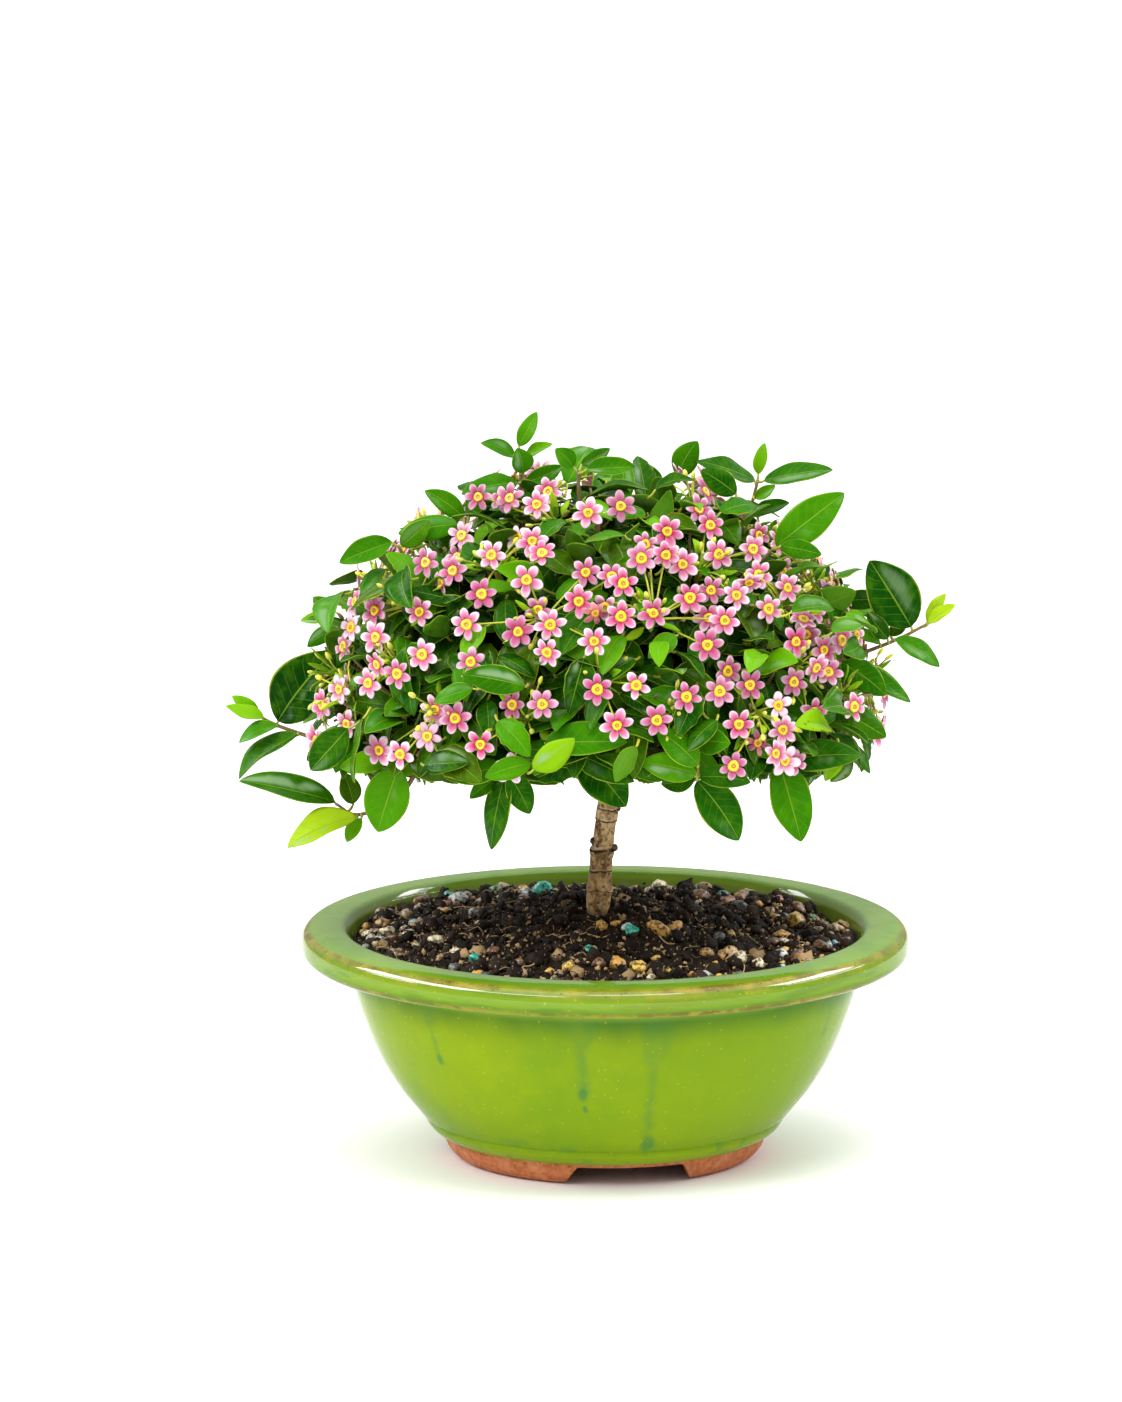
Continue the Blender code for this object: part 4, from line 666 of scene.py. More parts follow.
def crown_layout():
    """All leaves, twigs and blooms of the crown, placed round the pot's axis."""
    rng = random.Random(LAYOUT_SEED)
    cells = dome_cells()
    crowd = Crowd()
    shoots = outline_shoots(cells, rng)
    for shoot in shoots:
        for a, b in zip(shoot["twig"][1:], shoot["twig"][2:]):
            crowd.add(rod_samples(a, b), shoot["spray"])
        for leaf in shoot["leaves"]:
            crowd.add(leaf_samples(leaf), shoot["spray"])
    blooms, feet = place_blooms(cells, crowd, rng)
    leaves = {}
    for spray, cell in cells.items():
        count = LEAVES_LOW if "low" in spray else LEAVES_MID if "mid" in spray else LEAVES_TOP
        leaves[spray] = dome_leaves(spray, cell, count, crowd, rng)
    return {"cells": cells, "shoots": shoots, "blooms": blooms, "feet": feet, "leaves": leaves}


def stem_ends(cell):
    """Where a branch meets its spray's stem, and where that stem ends inside the spray."""
    middle, half, low, high = cell
    if high == 90.0:
        return dome_point(0.0, 90.0, 0.5), dome_point(0.0, 90.0, 0.72)
    rise = 2.0 if low < 0 else 0.5 * (low + high)
    return dome_point(middle, rise, 0.47), dome_point(middle, rise, 0.62)


def on_trunk(height):
    """The trunk's middle at a height in millimetres."""
    for (a, _), (b, _) in zip(TRUNK, TRUNK[1:]):
        if a[2] <= height <= b[2]:
            return vec(a).lerp(vec(b), (height - a[2]) / (b[2] - a[2]))
    return vec(TRUNK[-1][0])


def as_array(vector):
    """A point or direction as numbers."""
    return np.array(tuple(vector), float)


class Heap:
    """Points, faces and two marks of one piece, gathered before its mesh is made."""

    def __init__(self):
        self.points, self.faces, self.spots, self.marks, self.slots = [], [], [], [], []
        self.count = 0

    def add(self, points, faces, spots, mark, slot=0):
        """Adds a part: faces is a list of index tables, and slot is one number or one for each face."""
        points = np.asarray(points, float).reshape(-1, 3)
        self.points.append(points)
        self.spots.append(np.broadcast_to(np.asarray(spots, float), (len(points), 3)))
        self.marks.append(np.broadcast_to(np.asarray(mark, float), (len(points), 3)))
        for table in faces:
            table = np.asarray(table, int)
            self.faces.append(table + self.count)
            self.slots.append(np.broadcast_to(np.asarray(slot, int), (len(table),)))
        self.count += len(points)

    def build(self, name, materials, slot, nodes=()):
        """Makes the piece, which rides on the root and stands for the given nodes."""
        mesh = bpy.data.meshes.new(name)
        points = np.vstack(self.points)
        corners = np.concatenate([table.ravel() for table in self.faces])
        sizes = np.concatenate([np.full(len(table), table.shape[1]) for table in self.faces])
        starts = np.concatenate([[0], np.cumsum(sizes)[:-1]])
        mesh.vertices.add(len(points))
        mesh.vertices.foreach_set("co", points.ravel())
        mesh.loops.add(len(corners))
        mesh.loops.foreach_set("vertex_index", corners)
        mesh.polygons.add(len(sizes))
        mesh.polygons.foreach_set("loop_start", starts)
        mesh.polygons.foreach_set("material_index", np.concatenate(self.slots))
        mesh.update(calc_edges=True)
        for label, values in (("spot", self.spots), ("mark", self.marks)):
            made = mesh.attributes.new(label, "FLOAT_VECTOR", "POINT")
            made.data.foreach_set("vector", np.vstack(values).ravel())
        mesh.shade_smooth()
        for material in materials:
            mesh.materials.append(material)
        thing = bpy.data.objects.new(name, mesh)
        thing.location = SHIFT
        bpy.context.scene.collection.objects.link(thing)
        bpy.context.view_layer.update()
        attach(thing, "root")
        if nodes:
            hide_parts(*nodes)
        return thing


class Level:
    """A number that a material works out, with the sums that make more of them."""

    def __init__(self, paint, socket):
        self.paint, self.socket = paint, socket

    def __add__(self, other):
        return self.paint.math("ADD", self, other)

    def __sub__(self, other):
        return self.paint.math("SUBTRACT", self, other)

    def __mul__(self, other):
        return self.paint.math("MULTIPLY", self, other)

    def __abs__(self):
        return self.paint.math("ABSOLUTE", self)

    def step(self, low, high, most=1.0):
        """A smooth rise from 0 where the number is low to most where it is high."""
        ends = {0: self, 1: low, 2: high, 3: 0.0, 4: most}
        return self.paint.number("MapRange", ends, interpolation_type="SMOOTHSTEP")


class Paint:
    """A material whose colour is laid on coat by coat, with short ways to add nodes to it."""

    def __init__(self, name, plain):
        self.material = bpy.data.materials.new(name)
        self.material.use_nodes = True
        self.tree = self.material.node_tree
        self.shader = self.tree.nodes["Principled BSDF"]
        self.colour = None
        for label, value in plain.items():
            self.put(self.shader, label, value)

    def put(self, node, label, value):
        """Sets an input of a node, or links it."""
        target = node.inputs[label]
        value = getattr(value, "socket", value)
        if isinstance(value, bpy.types.NodeSocket):
            self.tree.links.new(value, target)
        elif isinstance(value, tuple) and len(value) == 3 and target.type == "RGBA":
            target.default_value = (*value, 1.0)
        else:
            target.default_value = value

    def node(self, kind, values, **settings):
        """A new node with settings and input values."""
        made = self.tree.nodes.new("ShaderNode" + kind)
        for label, value in settings.items():
            setattr(made, label, value)
        for label, value in values.items():
            self.put(made, label, value)
        return made

    def number(self, kind, values, **settings):
        """The first output of a new node, as a number."""
        return Level(self, self.node(kind, values, **settings).outputs[0])

    def math(self, operation, a, b=0.0):
        """A number worked out from others."""
        return self.number("Math", {0: a, 1: b}, operation=operation)

    def highest(self, levels):
        """The highest of some numbers."""
        best = levels[0]
        for level in levels[1:]:
            best = self.math("MAXIMUM", best, level)
        return best

    def far(self, a, b):
        """The distance that two offsets at right angles make."""
        return self.math("SQRT", a * a + b * b)

    def mix(self, share, a, b):
        """A colour between a and b."""
        return self.node("Mix", {0: share, 6: a, 7: b}, data_type="RGBA").outputs[2]

    def over(self, colour, share):
        """Lays a colour over the one so far."""
        self.colour = self.mix(share, self.colour, colour)

    def place(self, stretch=None):
        """The object's own coordinates, each times its factor if there is a stretch."""
        spot = self.node("TexCoord", {}).outputs["Object"]
        return self.node("Mapping", {"Vector": spot, "Scale": stretch}).outputs[0] if stretch else spot

    def noise(self, scale, detail=3.0, rough=0.55, stretch=None):
        """Soft noise between 0 and 1."""
        values = {"Vector": self.place(stretch), "Scale": scale, "Detail": detail, "Roughness": rough}
        return self.number("TexNoise", values)

    def dots(self, scale, fade, luck, stretch=None):
        """Scattered dots: how far from its middle each fades, and how rare they are, as two steps."""
        made = self.node("TexVoronoi", {"Vector": self.place(stretch), "Scale": scale})
        near = Level(self, made.outputs["Distance"])
        return near.step(*fade) * self.parts(made.outputs["Color"])[0].step(*luck)

    def parts(self, vector):
        """The three numbers of a vector."""
        return [Level(self, socket) for socket in self.node("SeparateXYZ", {0: vector}).outputs[:3]]

    def millimetres(self):
        """The object's own coordinates in millimetres."""
        return self.parts(self.place((1000.0, 1000.0, 1000.0)))

    def kept(self, label):
        """The three numbers of a mark that the mesh carries."""
        return self.parts(self.node("Attribute", {}, attribute_name=label).outputs["Vector"])

    def bump(self, height, distance, strength=1.0):
        """Relief of a distance in metres."""
        values = {"Height": height, "Distance": distance, "Strength": strength}
        self.put(self.shader, "Normal", self.node("Bump", values).outputs[0])

    def finish(self):
        """Links the colour to the shader, and gives the material."""
        self.put(self.shader, "Base Color", self.colour)
        return self.material


def leaf_paint():
    """Glossy leaf: dark to young green by age, pale veins, a thin yellow edge, a duller underside, and a
    painted sheen on one half of some leaves.
    """
    paint = Paint("bonsai_leaf", {"Specular Tint": (0.55, 0.95, 0.45), "Specular IOR Level": 0.05})
    along, across, under = paint.kept("spot")
    age, chance, other = paint.kept("mark")
    aside = abs(across)
    paint.colour = paint.mix(chance, LEAF_DARK, LEAF_DEEP)
    paint.over(LEAF_YOUNG, other.step(0.6, 1.0, 0.14))
    paint.over(LEAF_MID, age.step(0.0, 0.5))
    paint.over(LEAF_BRIGHT, age.step(0.4, 0.8))
    paint.over(LEAF_YOUNG, age.step(0.75, 1.0))
    paint.over(LEAF_BRIGHT, paint.noise(260.0, detail=4.0).step(0.4, 0.75, 0.2))
    # Painted sheen: pale patches on one half of some leaves, in place of a highlight.
    lit_side = across * paint.math("SIGN", other - 0.5)
    sheen = lit_side.step(0.02, 0.3) * lit_side.step(0.85, 0.5)
    sheen = sheen * paint.noise(95.0, detail=2.0).step(0.48, 0.66) * (chance * 0.75)
    paint.over(LEAF_PAINTED_SHEEN, sheen)
    ribs = abs(paint.math("FRACT", along * 8.0 - aside * 1.7) - 0.5)
    side_vein = ribs.step(0.07, 0.015) * aside.step(0.97, 0.55)
    vein = paint.highest([side_vein * 0.3, aside.step(0.05, 0.014)])
    paint.over(LEAF_VEIN, vein * 0.6)
    paint.over(LEAF_EDGE, aside.step(0.91, 0.98) * paint.noise(150.0).step(0.3, 0.6, 0.8))
    paint.over(LEAF_RUST, (paint.noise(650.0, detail=1.0) * other).step(0.64, 0.68, 0.7))
    paint.over(LEAF_UNDER, under * 0.62)
    paint.put(paint.shader, "Roughness", under * 0.25 + (paint.noise(120.0) * 0.2 + 0.16))
    paint.bump(paint.noise(500.0) - vein * 0.9, 0.25 * MM, 0.5)
    return paint.finish()


def petal_paint():
    """Petal: hot pink at the claw, pink along the middle, nearly white at the tip and the edges, with
    painted shade on some blooms.
    """
    paint = Paint("bonsai_petal", {"Roughness": 0.5, "Specular IOR Level": 0.16,
                                   "Subsurface Weight": 0.12, "Subsurface Radius": (0.002, 0.001, 0.001),
                                   "Subsurface Scale": 0.5})
    along, across, under = paint.kept("spot")
    pale, wilt, shaded = paint.kept("mark")
    reach = along + pale * 0.35 + across * across * 0.34 + (paint.noise(700.0) * 0.24 - 0.12)
    paint.colour = paint.mix(reach.step(0.15, 0.52), PETAL_CLAW, PETAL_MID)
    paint.over(PETAL_TIP, reach.step(0.46, 1.14))
    ripple = paint.math("SINE", across * 16.0)
    paint.over(PETAL_CLAW, ripple.step(0.3, 1.0) * along.step(0.85, 0.3, 0.28))
    # Painted shade: blooms picked at random are darkened toward mauve.
    paint.over(PETAL_PAINTED_SHADE, shaded * 0.55)
    paint.over(PETAL_BACK, under * 0.55)
    faded = paint.mix(paint.noise(190.0, detail=1.0).step(0.42, 0.58), PETAL_WILT, PETAL_RUST)
    paint.over(faded, wilt * 0.7)
    paint.bump(ripple, 0.05 * MM, 0.6)
    return paint.finish()


def disc_paint():
    """The yellow ring of a bloom: spot z is 1 in its orange middle, and mark x its age."""
    paint = Paint("bonsai_bloom_disc", {"Roughness": 0.45})
    _, _, middle = paint.kept("spot")
    age, _, _ = paint.kept("mark")
    grain = paint.noise(2600.0, detail=2.0)
    paint.colour = paint.mix(grain.step(0.35, 0.75), DISC_YELLOW, DISC_GOLD)
    paint.over(DISC_ORANGE, age * 0.6)
    paint.over(DISC_ORANGE, middle)
    paint.bump(grain, 0.12 * MM)
    return paint.finish()


def stem_paint():
    """Green stems: mark x is the share of brown, y goes to yellow, and z is the share of cream."""
    paint = Paint("bonsai_stem", {"Roughness": 0.55})
    brown, chance, pale = paint.kept("mark")
    paint.colour = paint.mix(chance, STEM_GREEN, STEM_YELLOW)
    paint.over(paint.mix(paint.noise(900.0), STEM_BROWN, STEM_RED), brown)
    paint.over(BUD_CREAM, pale)
    paint.bump(paint.noise(1500.0), 0.08 * MM)
    return paint.finish()


def bark_paint():
    """Grey-brown bark: long streaks, pale flecks, dark rings at the old leaf nodes, and painted shade where
    it rises into the crown.
    """
    paint = Paint("bonsai_bark", {"Roughness": 0.8, "Specular IOR Level": 0.25})
    knob, _, _ = paint.kept("mark")
    _, _, up = paint.millimetres()
    streaks = paint.noise(420.0, detail=5.0, stretch=(1.0, 1.0, 0.22))
    patches = paint.noise(330.0, detail=5.0, rough=0.65, stretch=(1.0, 1.0, 0.7))
    paint.colour = paint.mix(streaks.step(0.35, 0.6), BARK_DARK, BARK_MID)
    paint.over(BARK_TAN, patches.step(0.4, 0.58, 0.9))
    paint.over(BARK_DARK, paint.noise(900.0, detail=4.0).step(0.52, 0.66, 0.75))
    paint.over(BARK_FLECK, paint.dots(900.0, (0.34, 0.12), (0.5, 0.55), (1.0, 1.0, 0.6)) * 0.6)
    paint.over(BARK_WARM, up.step(83.5, 79.0, 0.3))
    pit = paint.dots(620.0, (0.42, 0.16), (0.42, 0.5), (1.0, 1.0, 1.3))
    paint.over(BARK_PIT, pit * 0.7)
    level = up + (paint.noise(130.0) * 3.4 - 1.7)
    offs = [(level - height, wide) for height, wide in BARK_RINGS]
    ring = paint.highest([abs(off).step(wide, 0.2 * wide) for off, wide in offs])
    lip = paint.highest([abs(off - 1.5 * wide).step(wide, 0.2 * wide) for off, wide in offs])
    broken = paint.noise(260.0).step(0.36, 0.6)
    paint.over(BARK_FLECK, lip * broken * 0.6)
    paint.over(BARK_PIT, (broken * 0.6 + 0.4) * ring)
    # Painted shade: the trunk darkens as it rises into the crown.
    paint.over(BARK_PAINTED_SHADE, up.step(97.0, 110.0, 0.7))
    paint.over(BARK_PIT, knob * 0.8)
    paint.bump(streaks - ring * 0.6 - pit * 0.4, 0.5 * MM)
    return paint.finish()


def glaze_paint():
    """Apple-green glaze with painted shade under the rim and on its right side; it pools dark in drips, and
    breaks brown on the edges.
    """
    paint = Paint("pot_glaze", {"Specular IOR Level": 0.04, "Coat Roughness": 0.03})
    across, deep, up = paint.millimetres()
    radius = paint.far(across, deep)
    fine = paint.noise(150.0, detail=4.0)
    paint.colour = paint.mix(paint.noise(28.0).step(0.22, 0.66), GLAZE_DEEP, GLAZE_MAIN)
    paint.over(GLAZE_YELLOW, fine.step(0.45, 0.8, 0.4))
    # Painted shade: the pot's right side is darker and greener.
    paint.over(GLAZE_DEEP, across.step(-5.0, 55.0, 0.5))
    height_noise = paint.noise(45.0, stretch=(1.0, 1.0, 0.3)) * 9.0 - 4.5
    outside = radius.step(72.5, 70.5)
    # Painted shade: the body darkens upward under the rim's overhang, with a wavy lower edge.
    paint.over(GLAZE_POOL_AND_SHADE, (up + height_noise).step(44.0, 53.5) * outside)
    level = height_noise * 0.25 + up
    # A faint darker band just above the base band.
    paint.over(GLAZE_POOL_AND_SHADE, level.step(15.0, 11.8) * level.step(9.2, 10.4, 0.14))
    paint.over(GLAZE_YELLOW, level.step(10.4, 9.2) * up.step(6.6, 7.4, 0.35))
    paint.over(GLAZE_DRIP, paint.noise(210.0, detail=2.0).step(0.58, 0.68) * up.step(15.0, 11.0, 0.35))
    glaze_drips(paint, paint.math("ARCTAN2", across, deep * -1.0), radius, up, outside)
    glaze_rim(paint, radius, deep, up - (deep * (0.5 * RIM_WARP / RIM_RADIUS) + 0.5 * RIM_WARP), fine)
    paint.over(GLAZE_PALE, paint.dots(620.0, (0.26, 0.08), (0.7, 0.78)) * 0.45)
    paint.put(paint.shader, "Roughness", fine * 0.1 + 0.05)
    paint.bump(paint.noise(55.0, detail=1.0) + fine * 0.12, 0.35 * MM, 0.35)
    return paint.finish()


def glaze_drips(paint, turn, radius, up, outside):
    """The blue-green drips and drops that have run down the outside."""
    wander = paint.noise(90.0, stretch=(1.0, 1.0, 0.5)) * 0.07 - 0.035
    blotch = paint.noise(260.0, detail=2.0).step(0.25, 0.7) * 0.55 + 0.45
    frayed = paint.noise(330.0) * 3.0 - 1.5
    for bearing, top, bottom, wide in DRIPS:
        off = abs(turn + wander - math.radians(bearing)) * radius
        broad = up.step(0.4 * bottom + 0.6 * top, top + 2.0, 2.0 * wide)
        line = (broad + 0.8 * wide - off + frayed).step(-1.2, 1.8) * outside
        line = line * up.step(bottom, bottom + 2.0) * blotch
        paint.over(GLAZE_DRIP, line * (up.step(top, bottom) * 0.34 + 0.28))
    for bearing, height, size in DROPS:
        far = paint.far((turn - math.radians(bearing)) * radius, (up - height) * 0.7)
        drop = (far + frayed * 0.5).step(size, 0.35 * size) * outside
        paint.over(GLAZE_DRIP, drop * 0.7)


def glaze_rim(paint, radius, deep, up, fine):
    """The rim: a sage top with painted shade at the front, an olive and golden fascia with painted shade
    along its lower edge, brown edges, and the glossiest coat.
    """
    facing = Level(paint, paint.node("LayerWeight", {"Blend": 0.5}).outputs["Facing"])
    coat = (up.step(56.5, 59.5) * 0.6 + 0.4) * (facing * -0.9 + 1.0)
    coat = coat * (radius.step(69.0, 71.0) * 0.6 + 0.4)
    paint.put(paint.shader, "Coat Weight", coat)
    sage = paint.mix(paint.noise(70.0).step(0.35, 0.7), RIM_SAGE, RIM_GREEN)
    # Painted shade: the front of the rim's top is darker.
    sage = paint.mix(deep.step(-46.0, -74.0, 0.6), sage, GLAZE_POOL_AND_SHADE)
    paint.over(sage, up.step(61.2, 62.4, 0.85))
    paint.over(GLAZE_INSIDE, radius.step(71.0, 69.0) * up.step(50.0, 53.0, 0.9))
    fascia = radius.step(80.5, 82.0) * up.step(62.0, 60.5)
    corner = radius.step(78.5, 80.0) * up.step(62.5, 61.8) * up.step(59.0, 60.6)
    paint.over(GLAZE_DEEP, fascia * 0.6)
    golden = paint.mix(paint.noise(120.0).step(0.45, 0.7), GLAZE_OLIVE, GLAZE_GOLD)
    paint.over(golden, fascia * up.step(58.0, 61.0, 0.4))
    paint.over(golden, corner * 0.5)
    streaks = paint.noise(42.0, detail=4.0, stretch=(1.0, 1.0, 7.0))
    paint.over(GLAZE_OLIVE, fascia * streaks.step(0.52, 0.64, 0.45))
    paint.over(GLAZE_POOL_AND_SHADE, fascia * streaks.step(0.48, 0.38, 0.4))
    # Painted shade along the fascia's lower edge, where it turns down.
    paint.over(GLAZE_POOL_AND_SHADE, fascia * up.step(57.6, 55.6, 0.5))
    level = up + (paint.noise(180.0, detail=4.0) * 1.4 - 0.7)
    breaks = [abs(level - height).step(wide, 0.15 * wide) * radius.step(inmost - 0.4, inmost + 0.4)
              for height, wide, inmost in BREAK_LINES]
    patchy = paint.noise(34.0, detail=2.0).step(0.33, 0.62) * 0.65 + 0.35
    brown = paint.mix(fine.step(0.4, 0.6), GLAZE_BREAK, GLAZE_GOLD)
    paint.over(brown, paint.highest(breaks) * patchy * 0.85)
    edge = abs(up - 61.0).step(1.6, 0.6) * radius.step(79.5, 81.0)
    paint.over(GLAZE_SPECK, paint.dots(950.0, (0.3, 0.18), (0.72, 0.75)) * edge * 0.8)


def clay_paint():
    """Bare red-brown clay on the feet and under the pot, with painted shade inside the foot ring."""
    paint = Paint("pot_bare_clay", {"Roughness": 0.85, "Specular IOR Level": 0.25})
    grain = paint.noise(700.0, detail=5.0)
    paint.colour = paint.mix(grain.step(0.35, 0.65), CLAY_DARK, CLAY_MAIN)
    paint.over(CLAY_STAIN_AND_SHADE, paint.dots(750.0, (0.34, 0.16), (0.7, 0.75)) * 0.7)
    paint.over(CLAY_PALE, paint.noise(110.0).step(0.5, 0.75, 0.6))
    across, deep, up = paint.millimetres()
    # Painted shade: darker inside the foot ring, under the pot.
    paint.over(CLAY_STAIN_AND_SHADE, paint.far(across, deep).step(40.0, 36.0, 0.8))
    # Darker in a band just under the glaze's edge.
    paint.over(CLAY_STAIN_AND_SHADE, (up - grain).step(6.0, 6.7, 0.8))
    paint.bump(grain, 0.3 * MM)
    return paint.finish()


def soil_paint():
    """Black-brown potting mix: mark x is how red a crumb is, and a mark y near 1 makes it tan."""
    paint = Paint("potting_soil_fine", {"Roughness": 0.75, "Specular IOR Level": 0.12})
    tone, chance, _ = paint.kept("mark")
    grain = paint.noise(900.0, detail=5.0)
    paint.colour = paint.mix(grain.step(0.35, 0.75), SOIL_BLACK, SOIL_BROWN)
    paint.over(SOIL_RED, tone * 0.7)
    paint.over(SOIL_TAN, paint.dots(1300.0, (0.34, 0.2), (0.74, 0.78), (1.0, 1.0, 0.5)) * 0.5)
    paint.over(SOIL_TAN, chance.step(0.915, 0.97, 0.85))
    paint.bump(grain, 0.5 * MM)
    return paint.finish()


def pebble_paint():
    """Gravel: the mark is each stone's own colour, mottled and a little worn."""
    paint = Paint("gravel", {"Roughness": 0.4, "Specular IOR Level": 0.45})
    paint.colour = paint.node("Attribute", {}, attribute_name="mark").outputs["Color"]
    speckle = paint.noise(1100.0, detail=4.0)
    paint.over(STONE_PALE, speckle.step(0.5, 0.68, 0.35))
    paint.over(SOIL_BROWN, paint.noise(800.0, detail=5.0).step(0.5, 0.58, 0.8))
    paint.bump(speckle, 0.25 * MM)
    return paint.finish()


def shade_paint():
    """The unlit inside of the crown."""
    paint = Paint("crown_shade", {"Roughness": 0.95, "Specular IOR Level": 0.05})
    paint.colour = paint.mix(paint.noise(240.0, detail=4.0).step(0.4, 0.7), SHADE_BLACK, SHADE_GREEN)
    paint.bump(paint.noise(300.0), 1.0 * MM)
    return paint.finish()


def floor_paint():
    """Plain pale studio floor, barely mottled."""
    paint = Paint("studio_floor", {"Roughness": 0.75, "Specular IOR Level": 0.1})
    paint.colour = paint.mix(paint.noise(3.0), FLOOR_GREY, FLOOR_PALE)
    return paint.finish()


def sheet_faces(rows, lanes):
    """Faces of a thin closed sheet: an upper and a lower grid of points, and the rim between."""
    grid = np.arange(rows * lanes).reshape(rows, lanes)
    a, b, c, d = grid[:-1, :-1], grid[:-1, 1:], grid[1:, 1:], grid[1:, :-1]
    upper = np.stack([a, d, c, b], -1).reshape(-1, 4)
    lower = np.stack([a, b, c, d], -1).reshape(-1, 4) + rows * lanes
    rim = np.concatenate([grid[0, :], grid[1:, -1], grid[-1, -2::-1], grid[-2:0:-1, 0]])
    after = np.roll(rim, -1)
    edge = np.stack([rim, after, after + rows * lanes, rim + rows * lanes], -1)
    return np.vstack([upper, lower, edge])


# Where a leaf's points lie: shares of its length, and of its half width.
FINE_ROWS = np.concatenate([[0.0, 0.03], np.linspace(0.07, 0.93, 15), [0.97, 1.0]])
FINE_LANES = np.array([-1.0, -0.8, -0.4, 0.0, 0.4, 0.8, 1.0])
PLAIN_ROWS = np.array([0.0, 0.04, 0.12, 0.22, 0.33, 0.45, 0.57, 0.69, 0.8, 0.9, 0.97, 1.0])
PLAIN_LANES = np.array([-1.0, -0.6, 0.0, 0.6, 1.0])
FEW_ROWS = np.array([0.0, 0.1, 0.28, 0.5, 0.72, 0.89, 1.0])
FEW_LANES = np.array([-1.0, 0.0, 1.0])
FINE = (FINE_ROWS, FINE_LANES)
PLAIN = (PLAIN_ROWS, PLAIN_LANES)
FEW = (FEW_ROWS, FEW_LANES)


def tube_faces(rings, sides, inside_out=False):
    """Faces of a closed tube whose points are its rings, and then the middles of its two ends."""
    grid = np.arange(rings * sides).reshape(rings, sides)
    after = np.roll(grid, -1, axis=1)
    start, end = np.full(sides, grid.size), np.full(sides, grid.size + 1)
    tables = [np.stack([grid[:-1], after[:-1], after[1:], grid[1:]], -1).reshape(-1, 4),
              np.stack([start, after[0], grid[0]], -1), np.stack([end, grid[-1], after[-1]], -1)]
    return [np.roll(table[:, ::-1], 1, axis=1) for table in tables] if inside_out else tables


def add_sheet(heap, s, v, upper, lower, mark):
    """A thin closed sheet; each point keeps its place along and across, and a 1 if it is underneath."""
    points = np.concatenate([upper.reshape(-1, 3), lower.reshape(-1, 3)])
    spot = np.stack([s, v, np.zeros_like(s)], -1).reshape(-1, 3)
    heap.add(points, [sheet_faces(*s.shape)], np.concatenate([spot, spot + (0.0, 0.0, 1.0)]), mark)


def add_leaf(heap, leaf, age, grid, rng, toothed=0.0):
    """A leaf blade: folded at its midrib, waved at its edges, toothed on some leaves."""
    shares, lanes = grid
    s, v = np.meshgrid(shares, lanes, indexing="ij")
    foot, tip = as_array(leaf["foot"]), as_array(leaf["tip"])
    along, side, out = (as_array(a) for a in across_blade(leaf["tip"] - leaf["foot"], leaf["face"]))
    length = np.linalg.norm(tip - foot)
    half = 0.5 * leaf["width"] * np.sin(np.pi * s ** 0.86).clip(0.0, 1.0) ** 0.7
    half = np.maximum(half, 0.1 * MM)
    teeth = rng.uniform(0.05, 0.12) if rng.random() < toothed else 0.0
    even = np.where(np.arange(len(shares)) % 2, 1.0, -0.4)[:, None]
    spread = v * (1.0 + teeth * even * (np.abs(v) > 0.99))
    fold, cup = rng.uniform(0.12, 0.45), rng.uniform(-0.3, 0.25)
    wave, beats, phase = rng.uniform(0.01, 0.08), rng.uniform(0.9, 2.0), rng.uniform(0.0, 6.28)
    sway = rng.uniform(-0.05, 0.05) * length
    rise = leaf["bow"] * length * 4.0 * s * (1.0 - s) + half * (fold * np.abs(v) + cup * v * v)
    rise += half * wave * np.sin(2.0 * np.pi * beats * s + phase + 0.7 * (v > 0)) * np.abs(v) ** 2 * 2.0
    rise += -leaf["bow"] * length * 0.5 * np.clip(s - 0.75, 0.0, 1.0)
    shape = (foot + along * (s * length)[..., None] + out * rise[..., None]
             + side * (spread * half + sway * 4.0 * s * (1.0 - s))[..., None])
    thick = BLADE_THICK * (1.0 - 0.45 * np.abs(v))
    keel = BLADE_KEEL * np.exp(-(v / 0.12) ** 2) * (1.0 - 0.8 * s)
    add_sheet(heap, s, v, shape + out * (0.5 * thick)[..., None],
              shape - out * (0.5 * thick + keel)[..., None], (age, rng.random(), rng.random()))


def add_rod(heap, path, radii, sides, mark):
    """A closed round rod along a path."""
    path = np.array([tuple(p) for p in path])
    radii = np.broadcast_to(np.asarray(radii, float), (len(path),))
    ahead = np.gradient(path, axis=0)
    ahead /= np.linalg.norm(ahead, axis=1)[:, None]
    side = np.cross(ahead[0], (0.31, 0.2, 0.93))
    side /= np.linalg.norm(side)
    rings = []
    turns = 2.0 * np.pi * np.arange(sides) / sides
    for spot, way, radius in zip(path, ahead, radii):
        side = side - way * side.dot(way)
        side /= np.linalg.norm(side)
        other = np.cross(way, side)
        rings.append(spot + radius * (np.cos(turns)[:, None] * side + np.sin(turns)[:, None] * other))
    points = np.concatenate(rings + [path[:1], path[-1:]])
    spots = np.zeros((len(points), 3))
    spots[:-2, 0] = np.repeat(np.linspace(0.0, 1.0, len(path)), sides)
    heap.add(points, tube_faces(len(path), sides), spots, mark)


def bent_path(points, steps):
    """A smooth path through points."""
    points = [as_array(p) for p in points]
    ends = [2 * points[0] - points[1]] + points + [2 * points[-1] - points[-2]]
    path = []
    for a, b, c, d in zip(ends, ends[1:], ends[2:], ends[3:]):
        for t in np.linspace(0.0, 1.0, steps, endpoint=False):
            path.append(0.5 * (2 * b + (c - a) * t + (2 * a - 5 * b + 4 * c - d) * t * t
                               + (3 * b - a - 3 * c + d) * t ** 3))
    path.append(points[-1])
    return path


def widths_along(path, stops):
    """Radii spread evenly along a path from a list of stops."""
    return np.interp(np.linspace(0.0, 1.0, len(path)), np.linspace(0.0, 1.0, len(stops)), stops)


